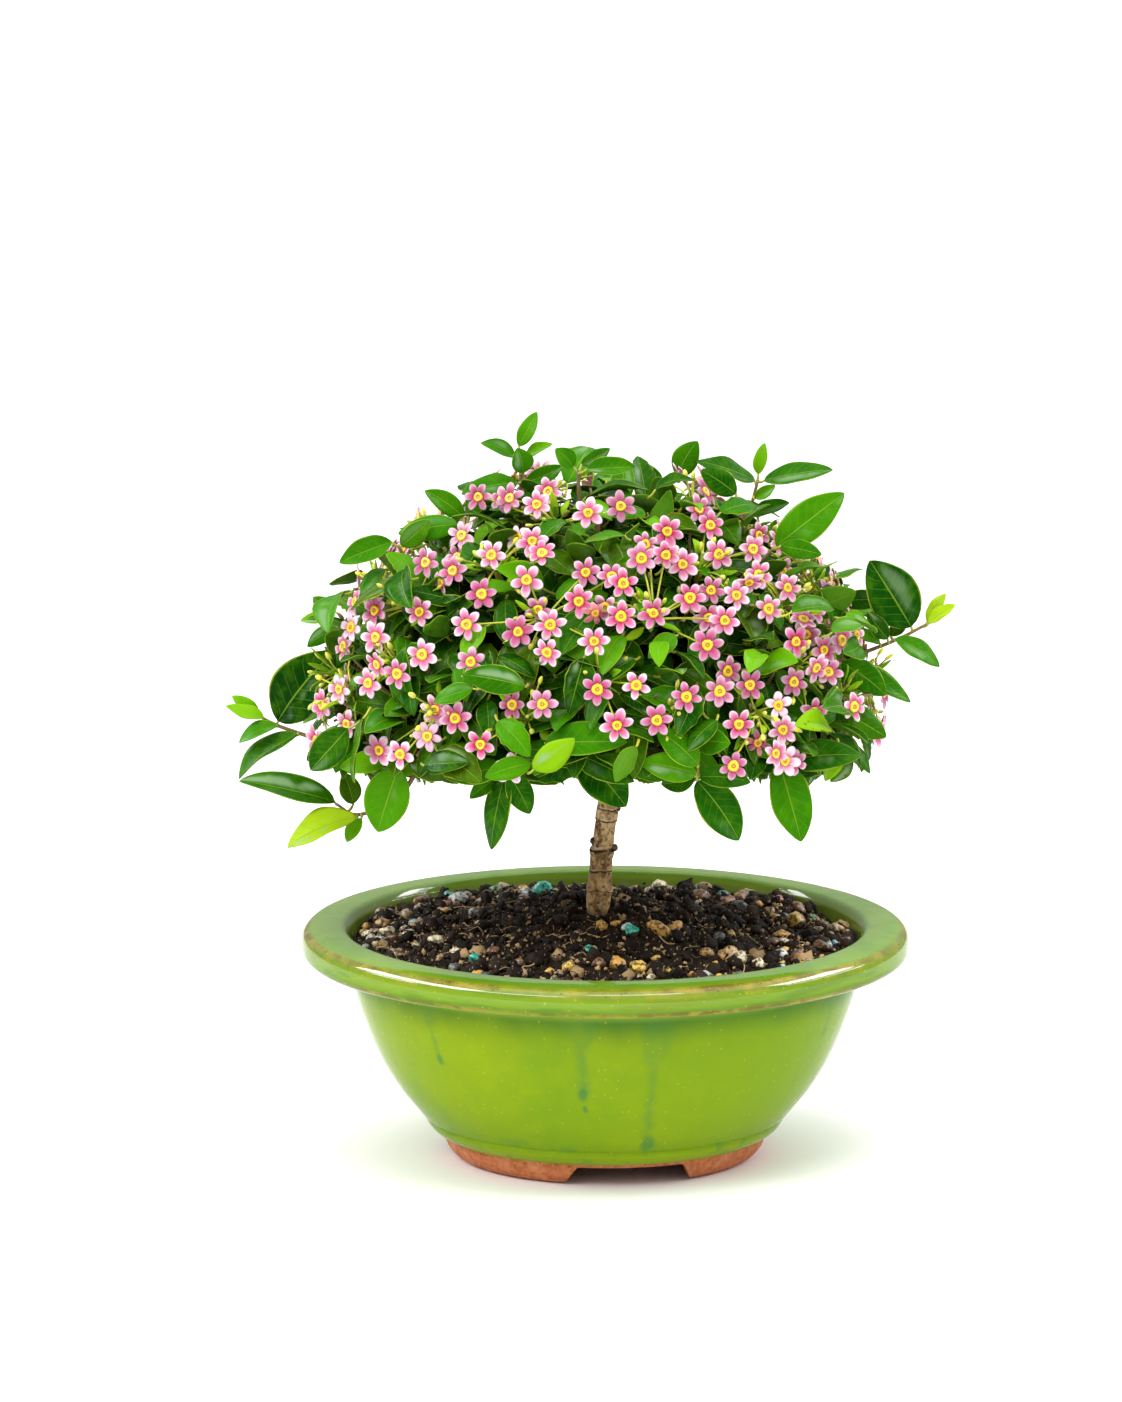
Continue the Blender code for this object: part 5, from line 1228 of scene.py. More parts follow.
# Where a petal's points lie: shares of its length, and of its half width.
PETAL_ROWS = np.array([0.0, 0.24, 0.5, 0.74, 0.92, 1.0])
PETAL_LANES = np.array([-1.0, -0.55, 0.0, 0.55, 1.0])


def add_petal(heap, bloom, turn, long, wide, rng, mark):
    """One spoon-shaped petal of a bloom."""
    wilt = mark[1]
    side, up = (as_array(a) for a in bloom_frame(bloom["face"]))
    face, middle = as_array(bloom["face"]), as_array(bloom["middle"])
    s, v = np.meshgrid(PETAL_ROWS, PETAL_LANES, indexing="ij")
    arm = side * math.cos(turn) + up * math.sin(turn)
    cross = side * -math.sin(turn) + up * math.cos(turn)
    swell = 0.5 + 0.5 * np.sin(np.clip(s / 0.56, 0.0, 1.0) * np.pi / 2.0) ** 1.3
    tip_round = np.clip(1.0 - (np.clip(s - 0.52, 0.0, 1.0) / 0.485) ** 2, 0.0, 1.0) ** 0.58
    half = np.maximum(wide * swell * tip_round * (1.0 - 0.4 * wilt), 0.07 * MM)
    reach = PETAL_FROM + s * (long - PETAL_FROM)
    droop = rng.uniform(-0.5, 0.35) - 1.6 * wilt
    lift = (0.35 + 0.5 * s + droop * s * s) * MM + rng.uniform(0.15, 0.5) * MM * np.sin(np.pi * s)
    lift += rng.uniform(-0.32, 0.42) * half * v * v + rng.uniform(-0.1, 0.1) * half * v
    shape = (middle + arm * (reach * (1.0 - wilt * rng.uniform(0.0, 0.4)))[..., None]
             + cross * (v * half)[..., None] + face * lift[..., None])
    add_sheet(heap, s, v, shape + face * (0.5 * PETAL_THICK), shape - face * (0.5 * PETAL_THICK), mark)


def add_disc(heap, bloom, rng, wilt):
    """The raised ring in the middle of a bloom, with a small crown inside it."""
    side, up = (as_array(a) for a in bloom_frame(bloom["face"]))
    face = as_array(bloom["face"])
    middle = as_array(bloom["middle"]) + face * 0.55 * MM
    size = rng.uniform(0.92, 1.12) * (1.0 - 0.2 * wilt)
    rings, spots = [], []
    for radius, height, inner in DISC_PROFILE:
        turns = 2.0 * np.pi * (np.arange(DISC_SIDES) + 0.5 * (len(rings) % 2)) / DISC_SIDES
        spread = np.cos(turns)[:, None] * side + np.sin(turns)[:, None] * up
        lumps = 1.0 + 0.06 * np.cos(3.0 * turns + bloom["roll"])[:, None]
        rings.append(middle + spread * lumps * (radius * size * MM) + face * (height * size * MM))
        spots.append(np.tile((0.0, 0.0, inner), (DISC_SIDES, 1)))
    points = np.concatenate(rings + [[middle - face * 0.6 * MM], [middle + face * 0.5 * MM]])
    spots = np.concatenate(spots + [[(0.0, 0.0, 0.0)], [(0.0, 0.0, 0.25)]])
    heap.add(points, tube_faces(len(rings), DISC_SIDES), spots, (wilt, rng.random(), 0.0))


def add_bud(heap, spot, way, long, wide, mark):
    """A plump closed bud, or the cup behind a bloom."""
    rows = [(-0.5, 0.25), (-0.38, 0.75), (-0.1, 1.0), (0.15, 0.92), (0.36, 0.6), (0.48, 0.25)]
    path = [spot + way * (share * long) for share, _ in rows]
    add_rod(heap, path, [wide * w for _, w in rows], 7, mark)


def rounded(corners):
    """A profile of (radius, height, fillet) corners in mm, with each corner rounded off."""
    spots = []
    for i, (r, z, fillet) in enumerate(corners):
        here = np.array((r, z), float)
        before = np.array(corners[i - 1][:2], float)
        after = np.array(corners[(i + 1) % len(corners)][:2], float)
        if fillet <= 0.0:
            spots.append(here)
            continue
        back, ahead = before - here, after - here
        cut = min(fillet, 0.45 * np.linalg.norm(back), 0.45 * np.linalg.norm(ahead))
        a = here + back / np.linalg.norm(back) * cut
        b = here + ahead / np.linalg.norm(ahead) * cut
        for t in (0.0, 0.25, 0.5, 0.75, 1.0):
            spots.append((1 - t) ** 2 * a + 2 * t * (1 - t) * here + t * t * b)
    return np.array(spots) * MM


# The pot's profile, from the edge of its foot up the outside, over the rim, down the inside and out
# through the drain hole: the radius, height and fillet of each corner in mm.
POT_CORNERS = [
    (38.6, 0.0, 0.9), (40.6, 0.7, 0.9), (41.9, 1.9, 0.6), (42.9, 3.2, 0.0), (43.5, 4.6, 0.0),
    (43.9, 5.8, 0.0), (44.1, 6.5, 0.1), (44.9, 6.6, 0.2), (46.4, 7.6, 0.4), (47.8, 8.9, 0.5),
    (48.7, 10.4, 0.4), (48.55, 10.9, 0.15), (49.4, 11.6, 0.25), (52.4, 15.2, 0.0), (56.2, 19.8, 0.0),
    (58.9, 23.9, 0.0), (61.3, 28.2, 0.0), (63.6, 33.2, 0.0), (65.6, 38.2, 0.0), (67.5, 43.6, 0.0),
    (68.9, 48.8, 0.0), (69.8, 53.4, 0.6), (71.6, 54.15, 0.6), (80.6, 54.2, 1.2), (82.4, 55.8, 1.2),
    (82.6, 58.4, 1.0), (82.2, 60.7, 1.5), (80.4, 62.2, 1.3), (77.6, 62.65, 0.6), (74.5, 62.85, 0.0),
    (71.0, 62.7, 1.0), (69.3, 60.8, 0.8), (68.4, 57.5, 0.0), (67.0, 52.0, 0.0), (65.2, 46.0, 0.0),
    (62.3, 38.0, 0.0), (58.4, 30.0, 0.0), (50.6, 20.6, 0.0), (42.0, 12.9, 4.0), (6.3, 12.0, 0.5),
    (6.0, 11.4, 0.0), (6.0, 6.7, 0.0), (6.5, 6.2, 0.3), (30.6, 6.0, 0.6), (31.4, 5.0, 0.0),
    (31.7, 2.5, 0.0), (32.0, 0.0, 0.8)]
# The glaze ends at this height, and the foot ring starts at this radius, in metres.
GLAZE_FOOT = 6.52 * MM
FOOT_INSIDE = 29.0 * MM
# A notch is a straight cut with a slanted, rounded side: half its width at the top, and the side.
NOTCH_HALF = 13.8 * MM
NOTCH_SIDE = 4.2 * MM
# The kiln has raised the back of the rim a little: by how many mm, and at what radius in mm. The rise
# starts at a height in metres.
RIM_WARP = 1.5
RIM_RADIUS = 82.0
WARP_FROM = 30.0 * MM


def notch_height(azimuth, radius):
    """How high the foot ring starts at a place."""
    off = min(abs(turned(azimuth - middle)) for middle in NOTCH_MIDDLES)
    if off > 60.0:
        return 0.0
    inside = (NOTCH_HALF + NOTCH_SIDE - radius * math.sin(math.radians(off))) / NOTCH_SIDE
    share = min(max(inside, 0.0), 1.0)
    return NOTCH_TOP * (1.3 * share * share * (3.0 - 2.0 * share) - 0.3 * share)


def make_fine_pot(glaze, clay):
    """The pot turned from a rounded profile, with the three notches raised out of its foot ring."""
    profile = rounded(POT_CORNERS)
    azimuths = set(np.arange(0.0, 360.0, 2.5))
    for middle in NOTCH_MIDDLES:
        for end in (-1, 1):
            edge = middle + end * NOTCH_HALF_ANGLE
            inward, outward = (2.5, 12.0) if end > 0 else (12.0, 2.5)
            azimuths |= {round(a % 360.0, 3) for a in np.arange(edge - inward, edge + outward, 0.5)}
    azimuths = sorted(azimuths)
    azimuths = [a for a, b in zip(azimuths, azimuths[1:] + [360.0]) if b - a > 0.1]
    points = []
    for azimuth in azimuths:
        turn = math.radians(azimuth)
        warp = RIM_WARP * MM * (0.5 - 0.5 * math.cos(turn))
        wobble = 1.0 + 0.0016 * math.sin(2.0 * turn + 0.7) + 0.0009 * math.sin(5.0 * turn)
        for r, z in profile:
            in_foot = r > FOOT_INSIDE and z < GLAZE_FOOT
            lifted = max(z, notch_height(azimuth, r)) if in_foot else z
            lifted += warp * min(max((z - WARP_FROM) / WARP_FROM, 0.0), 1.0)
            points.append((r * wobble * math.sin(turn), -r * wobble * math.cos(turn), lifted))
    grid = np.arange(len(azimuths) * len(profile)).reshape(len(azimuths), len(profile))
    beside, above = np.roll(grid, -1, axis=0), np.roll(grid, -1, axis=1)
    walls = np.stack([grid, beside, np.roll(beside, -1, axis=1), above], -1).reshape(-1, 4)
    heights = np.maximum(profile[:, 1], np.roll(profile[:, 1], -1))
    slots = np.tile((heights <= GLAZE_FOOT).astype(int), len(azimuths))
    heap = Heap()
    heap.add(points, [walls], NO_MARK, NO_MARK, slots)
    pot = heap.build("pot_glazed", [glaze, clay], "green_glaze", ["pot"])
    pot.data.set_sharp_from_angle(angle=math.radians(38.0))


def lump_shape(level):
    """Points and faces of a ball of triangles."""
    work = bmesh.new()
    bmesh.ops.create_icosphere(work, subdivisions=level, radius=1.0)
    points = np.array([tuple(v.co) for v in work.verts])
    faces = np.array([[v.index for v in f.verts] for f in work.faces])
    work.free()
    return points, faces


def random_turn(rng):
    """A turn to any side."""
    turn = np.linalg.qr(rng.normal(size=(3, 3)))[0]
    if np.linalg.det(turn) < 0:
        turn[:, 0] *= -1
    return turn


# A chip of eight triangles.
CHIP = (np.array([(1, 0, 0), (-1, 0, 0), (0, 1, 0), (0, -1, 0), (0, 0, 1), (0, 0, -1)], float),
        np.array([(0, 2, 4), (2, 1, 4), (1, 3, 4), (3, 0, 4), (2, 0, 5), (1, 2, 5), (3, 1, 5), (0, 3, 5)]))


def add_lump(heap, ball, spot, size, rough, rng, mark):
    """A rough lump: a ball pushed in and out, turned and squashed."""
    points, faces = ball
    shape = points * (1.0 + rng.normal(0.0, rough, (len(points), 1)))
    shape = shape * rng.uniform(0.65, 1.3, 3)
    heap.add(np.asarray(spot) + shape @ random_turn(rng).T * size, [faces], NO_MARK, mark)


def add_stone(heap, ball, spot, size, rng, mark):
    """A worn stone: a ball with broad dents, turned and a little flat."""
    points, faces = ball
    about = Vector(rng.uniform(-50.0, 50.0, 3))
    dents = np.array([noise.noise(Vector(p) * 1.1 + about) + 0.3 * noise.noise(Vector(p) * 3.0 + about)
                      for p in points])
    shape = points * (1.0 + 0.42 * dents[:, None]) * rng.uniform(0.72, 1.22, 3)
    shape = shape @ random_turn(rng).T * size * (1.0, 1.0, 0.8)
    heap.add(np.asarray(spot) + shape, [faces], NO_MARK, mark)


def ground_height(x, y):
    """The soil's height at a place: a mound to the trunk with hollows and humps, and rougher edges."""
    share = min(math.hypot(x, y) / SOIL_RADIUS, 1.0)
    height = SOIL_EDGE + (SOIL_CROWN - SOIL_EDGE) * (1.0 - share ** 1.6)
    for rough, scale, layer in ((2.4, 60.0, 3.1), (1.5, 160.0, 7.7), (0.9, 420.0, 1.3)):
        height += rough * MM * noise.noise(Vector((x * scale, y * scale, layer)))
    back = 0.5 + 0.5 * y / SOIL_RADIUS
    return height - 0.5 * MM + 2.3 * MM * back * share ** 2


def from_trunk(x, y):
    """How far a place is from the trunk's foot."""
    return math.hypot(x - TRUNK_FOOT[0], y - TRUNK_FOOT[1])


def scattered(rng, count, reach, clear):
    """Places on the soil within a reach of the axis, and clear of the trunk."""
    for _ in range(count):
        radius = reach * math.sqrt(rng.random())
        turn = rng.uniform(0.0, 2.0 * math.pi)
        x, y = radius * math.cos(turn), radius * math.sin(turn)
        if from_trunk(x, y) >= clear:
            yield x, y


def tan_or_dark(rng, tan_share):
    """The second mark of a bit of soil, which is near 1 where it is tan."""
    return rng.uniform(0.94, 1.0) if rng.random() < tan_share else 0.9 * rng.random()


def make_fine_soil(soil, gravel):
    """The soil's surface, its crumbs, bits of bark and root, and the coloured gravel."""
    rng = np.random.default_rng(EXTRA_SEED)
    heap = Heap()
    turns = [2.0 * math.pi * k / SOIL_SIDES for k in range(SOIL_SIDES)]
    circle = [(math.cos(turn), math.sin(turn)) for turn in turns]
    points = []
    for radius in SOIL_RINGS:
        for x, y in circle:
            points.append((radius * x, radius * y, ground_height(radius * x, radius * y)))
    for radius, height in SOIL_BELOW:
        points += [(radius * MM * x, radius * MM * y, height * MM) for x, y in circle]
    points += [(0, 0, ground_height(0, 0)), (0, 0, SOIL_BELOW[-1][1] * MM)]
    walls = tube_faces(len(SOIL_RINGS) + len(SOIL_BELOW), SOIL_SIDES, inside_out=True)
    heap.add(points, walls, NO_MARK, (0.2, 0.5, 0.0))
    small, large, fine = lump_shape(1), lump_shape(2), lump_shape(3)
    for x, y in scattered(rng, CRUMB_COUNT, 66.6 * MM, 4.4 * MM):
        size = rng.uniform(0.5, 1.1) * MM if rng.random() < 0.75 else rng.uniform(1.1, 2.2) * MM
        ball = large if size > 1.4 * MM else small
        spot = (x, y, ground_height(x, y) + size * rng.uniform(0.0, 0.6))
        add_lump(heap, ball, spot, size, 0.2, rng, (rng.random() ** 2, rng.random(), 0.0))
    for x, y in scattered(rng, CHIP_COUNT, 66.8 * MM, 4.4 * MM):
        size = rng.uniform(0.25, 0.75) * MM
        spot = (x, y, ground_height(x, y) + rng.uniform(0.2, 1.5) * MM)
        luck = tan_or_dark(rng, 0.36)
        add_lump(heap, CHIP, spot, size, 0.25, rng, (rng.random(), luck, 0.0))
    heap.build("soil_crumbs", [soil], "potting_soil", ["soil"])
    stones = Heap()
    for i, (x, y, size, colour) in enumerate(stone_places(rng)):
        seen = i < len(SEEN_STONES)
        tone = np.array(STONES[colour]) * (rng.uniform(1.0, 1.35) if seen else rng.uniform(0.65, 1.4))
        rise = rng.uniform(0.6, 0.85) if seen else rng.uniform(0.1, 0.6)
        spot = (x, y, ground_height(x, y) + size * rise)
        add_stone(stones, fine if seen or size > 1.9 * MM else large, spot, size, rng, tuple(tone))
    stones.build("gravel_stones", [gravel], "potting_soil")
    make_roots(rng, soil)


def stone_places(rng):
    """Place, radius and colour of each stone: those that the photo shows, and more near the rim."""
    places = [(x * MM, y * MM, size * MM, colour) for x, y, size, colour in SEEN_STONES]
    names = list(STONES)
    chances = np.array(STONE_CHANCES) / np.sum(STONE_CHANCES)
    tries = 0
    while len(places) < STONE_COUNT and tries < STONE_TRIES:
        tries += 1
        turn = rng.uniform(0.0, 2.0 * math.pi)
        at_edge = rng.random() < 0.35 + 0.55 * abs(math.cos(turn))
        if at_edge:
            radius = 66.3 * MM * (1.0 - 0.5 * rng.random() ** 1.5 * 0.55)
        else:
            radius = 66.0 * MM * math.sqrt(rng.random())
        if not at_edge and rng.random() < 0.55:
            continue
        size = rng.uniform(0.8, 1.5) * MM if rng.random() < 0.6 else rng.uniform(1.5, 2.4) * MM
        x, y = radius * math.cos(turn), radius * math.sin(turn)
        if from_trunk(x, y) < 6.0 * MM:
            continue
        if any(math.hypot(x - a, y - b) < 0.85 * (size + other) for a, b, other, _ in places):
            continue
        places.append((x, y, size, names[rng.choice(len(names), p=chances)]))
    return places


def make_roots(rng, soil):
    """Bent bits of root that lie on the soil."""
    bits = Heap()
    for x, y in scattered(rng, ROOT_COUNT, 64.0 * MM, 5.0 * MM):
        long = rng.uniform(2.5, 9.0) * MM
        heading = rng.uniform(0.0, 2.0 * math.pi)
        path = []
        for t in np.linspace(-0.5, 0.5, 4):
            a = x + long * t * math.cos(heading + t * 0.9)
            b = y + long * t * math.sin(heading + t * 0.9)
            if math.hypot(a, b) > 66.0 * MM:
                break
            path.append((a, b, ground_height(a, b) + (0.5 + rng.uniform(0.0, 1.5)) * MM))
        if len(path) == 4:
            thin = (0.07 + 0.22 * rng.random() ** 3) * MM
            luck = tan_or_dark(rng, 0.3)
            add_rod(bits, bent_path(path, 2), [thin], 4, (rng.random(), luck, 0.0))
    bits.build("root_bits", [soil], "potting_soil")


def make_fine_trunk(cells, bark):
    """The trunk with its bark rings and knobs, and a branch to each spray."""
    heap = Heap()
    path = np.array(bent_path([vec(p) for p, _ in TRUNK], 16))
    heights = np.array([p[2] for p in path])
    plain = np.interp(heights, [p[2] * MM for p, _ in TRUNK], [radius * MM for _, radius in TRUNK])
    buried = np.clip((BASE_ROUND - heights) / BASE_FALL, 0.0, 0.8)
    plain = plain * np.sqrt(1.0 - buried ** 2)
    ahead = np.gradient(path, axis=0)
    ahead /= np.linalg.norm(ahead, axis=1)[:, None]
    points = []
    for spot, way, radius in zip(path, ahead, plain):
        side = np.cross(way, (0.0, 1.0, 0.0))
        side /= np.linalg.norm(side)
        other = np.cross(way, side)
        lift = Vector((0.0, 0.0, spot[2]))
        for k in range(BARK_SIDES):
            turn = 2.0 * math.pi * k / BARK_SIDES
            arm = math.cos(turn) * side + math.sin(turn) * other
            coarse = noise.noise(Vector(arm) * 1.6 + lift * 70.0)
            fine = noise.noise(Vector(arm) * 5.5 + lift * 260.0)
            ridge = abs(noise.noise(Vector(arm) * 4.0 + lift * 90.0))
            grow = radius * (1.0 + 0.06 * coarse + 0.03 * fine) - ridge * 0.22 * MM
            points.append(spot + arm * grow)
    points += [path[0], path[-1]]
    heap.add(points, tube_faces(len(path), BARK_SIDES), NO_MARK, NO_MARK)
    for foot, way in KNOBS:
        foot, way = as_array(vec(foot)), as_array(Vector(way).normalized())
        stops = [1.35, 1.3, 1.2, 1.1, 0.85, 0.3]
        spots = [foot + way * (KNOB_LENGTH * t) for t in (0.3, 0.48, 0.65, 0.76, 0.83, 0.86)]
        add_rod(heap, spots, np.array(stops) * (0.85 * KNOB_RADIUS), 14, (1.0, 0.0, 0.0))
    for name, cell in cells.items():
        start, middle, bend, meet, _, thick, _ = branch_line(name, cell)
        spots = bent_path([start, middle, bend, meet], 8)
        radii = widths_along(spots, [thick, thick * 0.9, thick * 0.8, thick * 0.72])
        add_rod(heap, spots, radii, 12, NO_MARK)
    heap.build("trunk_bark", [bark], "bark", ["trunk"])


def branch_line(name, cell):
    """The course of a branch, where its spray's stem ends, and the thickness of both."""
    meet, inside = stem_ends(cell)
    low_one = name.startswith("spray_low")
    height = 104.0 + (turned(cell[0]) % 40.0) * 0.2 if low_one else 128.0
    start = on_trunk(height)
    if name == "spray_top":
        start = vec(TRUNK[-1][0]) - Vector((0, 0, 3.0 * MM))
    bend = meet - (inside - meet).normalized() * (6.0 * MM)
    middle = start.lerp(bend, 0.5) - Vector((0, 0, 1.5 * MM if low_one else 0.0))
    thick = 1.7 * MM if low_one else 1.35 * MM
    return start, middle, bend, meet, inside, thick, 1.2 * MM if low_one else 0.95 * MM


def free_leaf(place, length, share, rng, spread):
    """A leaf near the dome's surface that points down and outward, more or less."""
    middle = dome_point(*place, share)
    out = dome_normal(middle)
    lie = lying(out, spread, rng)
    way = (lie * 0.9 + out * rng.uniform(-0.1, 0.55)).normalized()
    face = (out * 0.75 + Vector((0, 0, 0.5)) + Vector(rng.gauss(0, 0.3) for _ in range(3))).normalized()
    foot, tip = middle - way * (0.45 * length), middle + way * (0.55 * length)
    back = foot - way * (0.16 * length) - out * (2.2 * MM)
    return {"root": back, "foot": foot, "tip": tip, "face": face,
            "width": rng.uniform(0.46, 0.58) * length, "bow": rng.uniform(0.02, 0.12)}


def even_place(i, lowest):
    """The azimuth and rise of the i-th of many places spread evenly over the dome."""
    height = lowest + (0.99 - lowest) * ((i * EVEN_UP) % 1.0)
    return turned(i * EVEN_ROUND * 360.0), math.degrees(math.asin(height))


def seen_height(point):
    """How high a point looks from the front, where nearer points look lower."""
    return point[2] + SEEN_SLOPE * point[1]


def beyond(leaf, samples):
    """Whether a filler would close one of the open places of the crown, or hang under its edge."""
    for spot in (leaf["tip"], 0.5 * (leaf["tip"] + leaf["foot"])):
        for left, right, low, high in OPEN_PLACES:
            if left < spot.x / MM < right and low < seen_height(spot) / MM < high:
                return True
    return min(min(p[2], seen_height(p) - 4.0 * MM) for p in samples) < LOWEST_FILL


def filler_leaves(crowd):
    """Leaves that fill the crown between the solids' own: outer ones, then inner ones."""
    rng = random.Random(EXTRA_SEED)
    outer, inner = [], []
    for i in range(OUTER_TRIES):
        if len(outer) == OUTER_LEAVES:
            break
        place = even_place(i, -0.75)
        share = rng.uniform(0.84, 0.99) if place[1] > -12 else rng.uniform(0.8, 0.96)
        leaf = free_leaf(place, rng.uniform(10.0, 18.5) * MM, share, rng, 1.0)
        samples = leaf_samples(leaf)
        if not beyond(leaf, samples) and crowd.clear(samples, "outer", 1.15 * MM, 1.3 * MM):
            crowd.add(samples, "outer")
            outer.append(leaf)
    for i in range(INNER_TRIES):
        if len(inner) == INNER_LEAVES:
            break
        place = even_place(i + 0.5, -0.85)
        leaf = free_leaf(place, rng.uniform(12.0, 20.0) * MM, rng.uniform(0.66, 0.91), rng, 1.4)
        samples = leaf_samples(leaf)[3::2]
        if not beyond(leaf, samples) and crowd.clear(samples, "inner", 0.75 * MM, 0.85 * MM):
            crowd.add(samples, "inner")
            inner.append(leaf)
    return outer, inner


# How young each leaf of a shoot looks, in the order of SHOOTS: 0 is dark and 1 is lime.
SHOOT_AGES = {
    "left_upper": (0.5, 0.35), "left_mid": (0.5, 0.8, 0.45, 0.4), "left_back": (0.3,),
    "left_tip": (0.02, 0.8, 0.85, 0.55, 0.3), "left_front": (0.15,), "left_low": (0.35, 1.0, 0.7, 0.2),
    "left_bright": (0.6, 0.75), "right_big": (0.55, 0.4), "right_top": (0.35, 0.3, 0.8, 0.65, 0.3),
    "right_mid": (0.3, 0.2), "right_tip": (0.0, 1.0, 1.0, 0.2, 0.25, 0.6, 0.45), "right_low": (0.3, 0.4),
    "top_left": (0.6, 0.45, 0.5, 0.7, 0.45, 0.4), "top_mid": (0.5, 0.35, 0.4), "top_right": (0.45, 0.3),
    "low_left": (0.15, 0.2, 0.45, 0.4), "low_mid": (0.0,), "low_front": (0.5,), "face_left": (0.35,),
    "low_right": (0.2, 0.25, 0.3, 0.6, 0.5), "low_edge": (0.5, 0.3, 0.2)}


def add_stem(heap, points, steps, radii, sides, mark):
    """A stem bent smoothly through points, with radii in mm spread along it."""
    path = bent_path(points, steps)
    add_rod(heap, path, widths_along(path, np.array(radii) * MM), sides, mark)


def make_leaves(layout, outer, inner, leaf_material, stem_material):
    """Every leaf, with its stalk: the shoots', the crown's, and the fillers."""
    rng = random.Random(LEAF_SEED)
    twigs = Heap()
    shoots, crown, fill, deep = Heap(), Heap(), Heap(), Heap()

    def stalk(leaf, thick, brown):
        bend = leaf["root"].lerp(leaf["foot"], 0.55) - Vector((0, 0, 0.3 * MM))
        add_stem(twigs, [leaf["root"], bend, leaf["foot"]], 2, [thick * 1.2, thick, thick * 0.8], 6,
                 (brown, rng.random(), 0.0))

    for shoot in layout["shoots"]:
        add_stem(twigs, shoot["twig"], 6, [0.85, 0.6, 0.4], 9, (0.9, rng.random(), 0.0))
        for i, leaf in enumerate(shoot["leaves"]):
            ages = SHOOT_AGES.get(shoot["name"], ())
            age = ages[i] if i < len(ages) else rng.uniform(0.1, 0.55)
            add_leaf(shoots, leaf, age ** 1.3, FINE, rng)
            stalk(leaf, 0.4, 0.45)
    for leaves in layout["leaves"].values():
        for leaf in leaves:
            add_leaf(crown, leaf, 0.66 * rng.random() ** 1.3, FINE, rng, TOOTHED)
            stalk(leaf, 0.4, 0.4)
    for leaf in outer:
        young = rng.random() < 0.15
        age = rng.uniform(0.6, 0.9) if young else 0.6 * rng.random() ** 1.4
        add_leaf(fill, leaf, age, PLAIN, rng, TOOTHED)
        stalk(leaf, 0.34, 0.3)
    for leaf in inner:
        # Painted shade: the inner leaves get only the darkest ages.
        add_leaf(deep, leaf, rng.uniform(0.0, 0.22), FEW, rng)
    for name, cell in layout["cells"].items():
        *_, meet, inside, _, stem = branch_line(name, cell)
        middle, half, low, high = cell
        for _ in range(INNER_TWIGS):
            azimuth = middle + half * rng.uniform(-0.85, 0.85) if half < 180 else rng.uniform(-180, 180)
            spot = dome_point(azimuth, rng.uniform(max(low, -25.0), high), rng.uniform(0.84, 0.93))
            bend = inside.lerp(spot, 0.5) + Vector((0, 0, rng.uniform(-3, 3) * MM))
            add_stem(twigs, [inside.lerp(meet, 0.2), bend, spot], 5, [stem * 0.6 / MM, 0.5, 0.35], 7,
                     (0.9, rng.random(), 0.0))
        add_rod(twigs, [meet, inside], [stem], 10, (1.0, rng.random(), 0.0))
    low_sprays = [n for n in layout["cells"] if "low" in n]
    high_sprays = [n for n in layout["cells"] if "low" not in n]
    shoots.build("leaves_shoots", [leaf_material], "leaf")
    crown.build("leaves_crown", [leaf_material], "leaf", low_sprays)
    fill.build("leaves_outer", [leaf_material], "leaf", high_sprays)
    deep.build("leaves_inner", [leaf_material], "leaf")
    twigs.build("twigs", [stem_material], "bark")


def make_shade(material):
    """A rough dark mass inside the crown, where no light comes."""
    heap = Heap()
    rows, lanes, lowest = 26, 60, -34.0
    points = []
    for i in range(rows):
        rise = lowest + (90.0 - lowest) * i / (rows - 1)
        for k in range(lanes):
            azimuth = 360.0 * k / lanes
            rough = noise.noise(dome_point(azimuth, rise, 1.0) * 55.0)
            points.append(dome_point(azimuth, min(rise, 89.0), 0.655 + 0.07 * rough))
    points += [dome_point(0.0, lowest, 0.25), dome_point(0.0, 90.0, 0.655)]
    heap.add([tuple(p) for p in points], tube_faces(rows, lanes), NO_MARK, NO_MARK)
    heap.build("crown_inside", [material], "leaf")


# A bloom's samples start with its face: the middle and two rings.
FACE_SAMPLES = 17


def petal_room(bloom):
    """Points of a bloom's face, and of the room before it that leaves leave free."""
    points = np.array([tuple(p) for p in bloom_samples(bloom)[:FACE_SAMPLES]])
    return np.vstack([points, points + as_array(bloom["face"]) * 2.0 * MM])


def extra_blooms(layout, crowd):
    """More blooms on the same umbels, crowded behind and beside the solids' own."""
    rng = random.Random(CROWDED_SEED)
    middles = [b["middle"] for b in layout["blooms"]]
    hosts = rng.sample(layout["blooms"], HOST_BLOOMS)
    added = []
    for _ in range(EXTRA_TRIES):
        if len(added) == EXTRA_BLOOMS:
            break
        host = rng.choice(hosts)
        out = dome_normal(host["middle"])
        side, up = bloom_frame(out)
        turn, far = rng.uniform(0.0, 2.0 * math.pi), rng.uniform(4.5, 8.5) * MM
        middle = host["middle"] + (side * math.cos(turn) + up * math.sin(turn)) * far
        middle += out * rng.uniform(-6.5, 2.5) * MM
        share = dome_angles(middle)[2]
        if share < 0.84 or share > 1.03 or any((m - middle).length < 5.4 * MM for m in middles):
            continue
        lean = Vector(rng.gauss(0.0, 0.34) for _ in range(3))
        bloom = dict(host, middle=middle, face=(bloom_facing(middle) + lean).normalized(),
                     roll=rng.uniform(0.0, 60.0), size=rng.uniform(0.84, 1.0))
        room = petal_room(bloom)
        if crowd.clear(room[:FACE_SAMPLES], "extra", 0.7 * MM, 0.8 * MM):
            crowd.add(room, "extra")
            middles.append(middle)
            added.append(bloom)
    return added


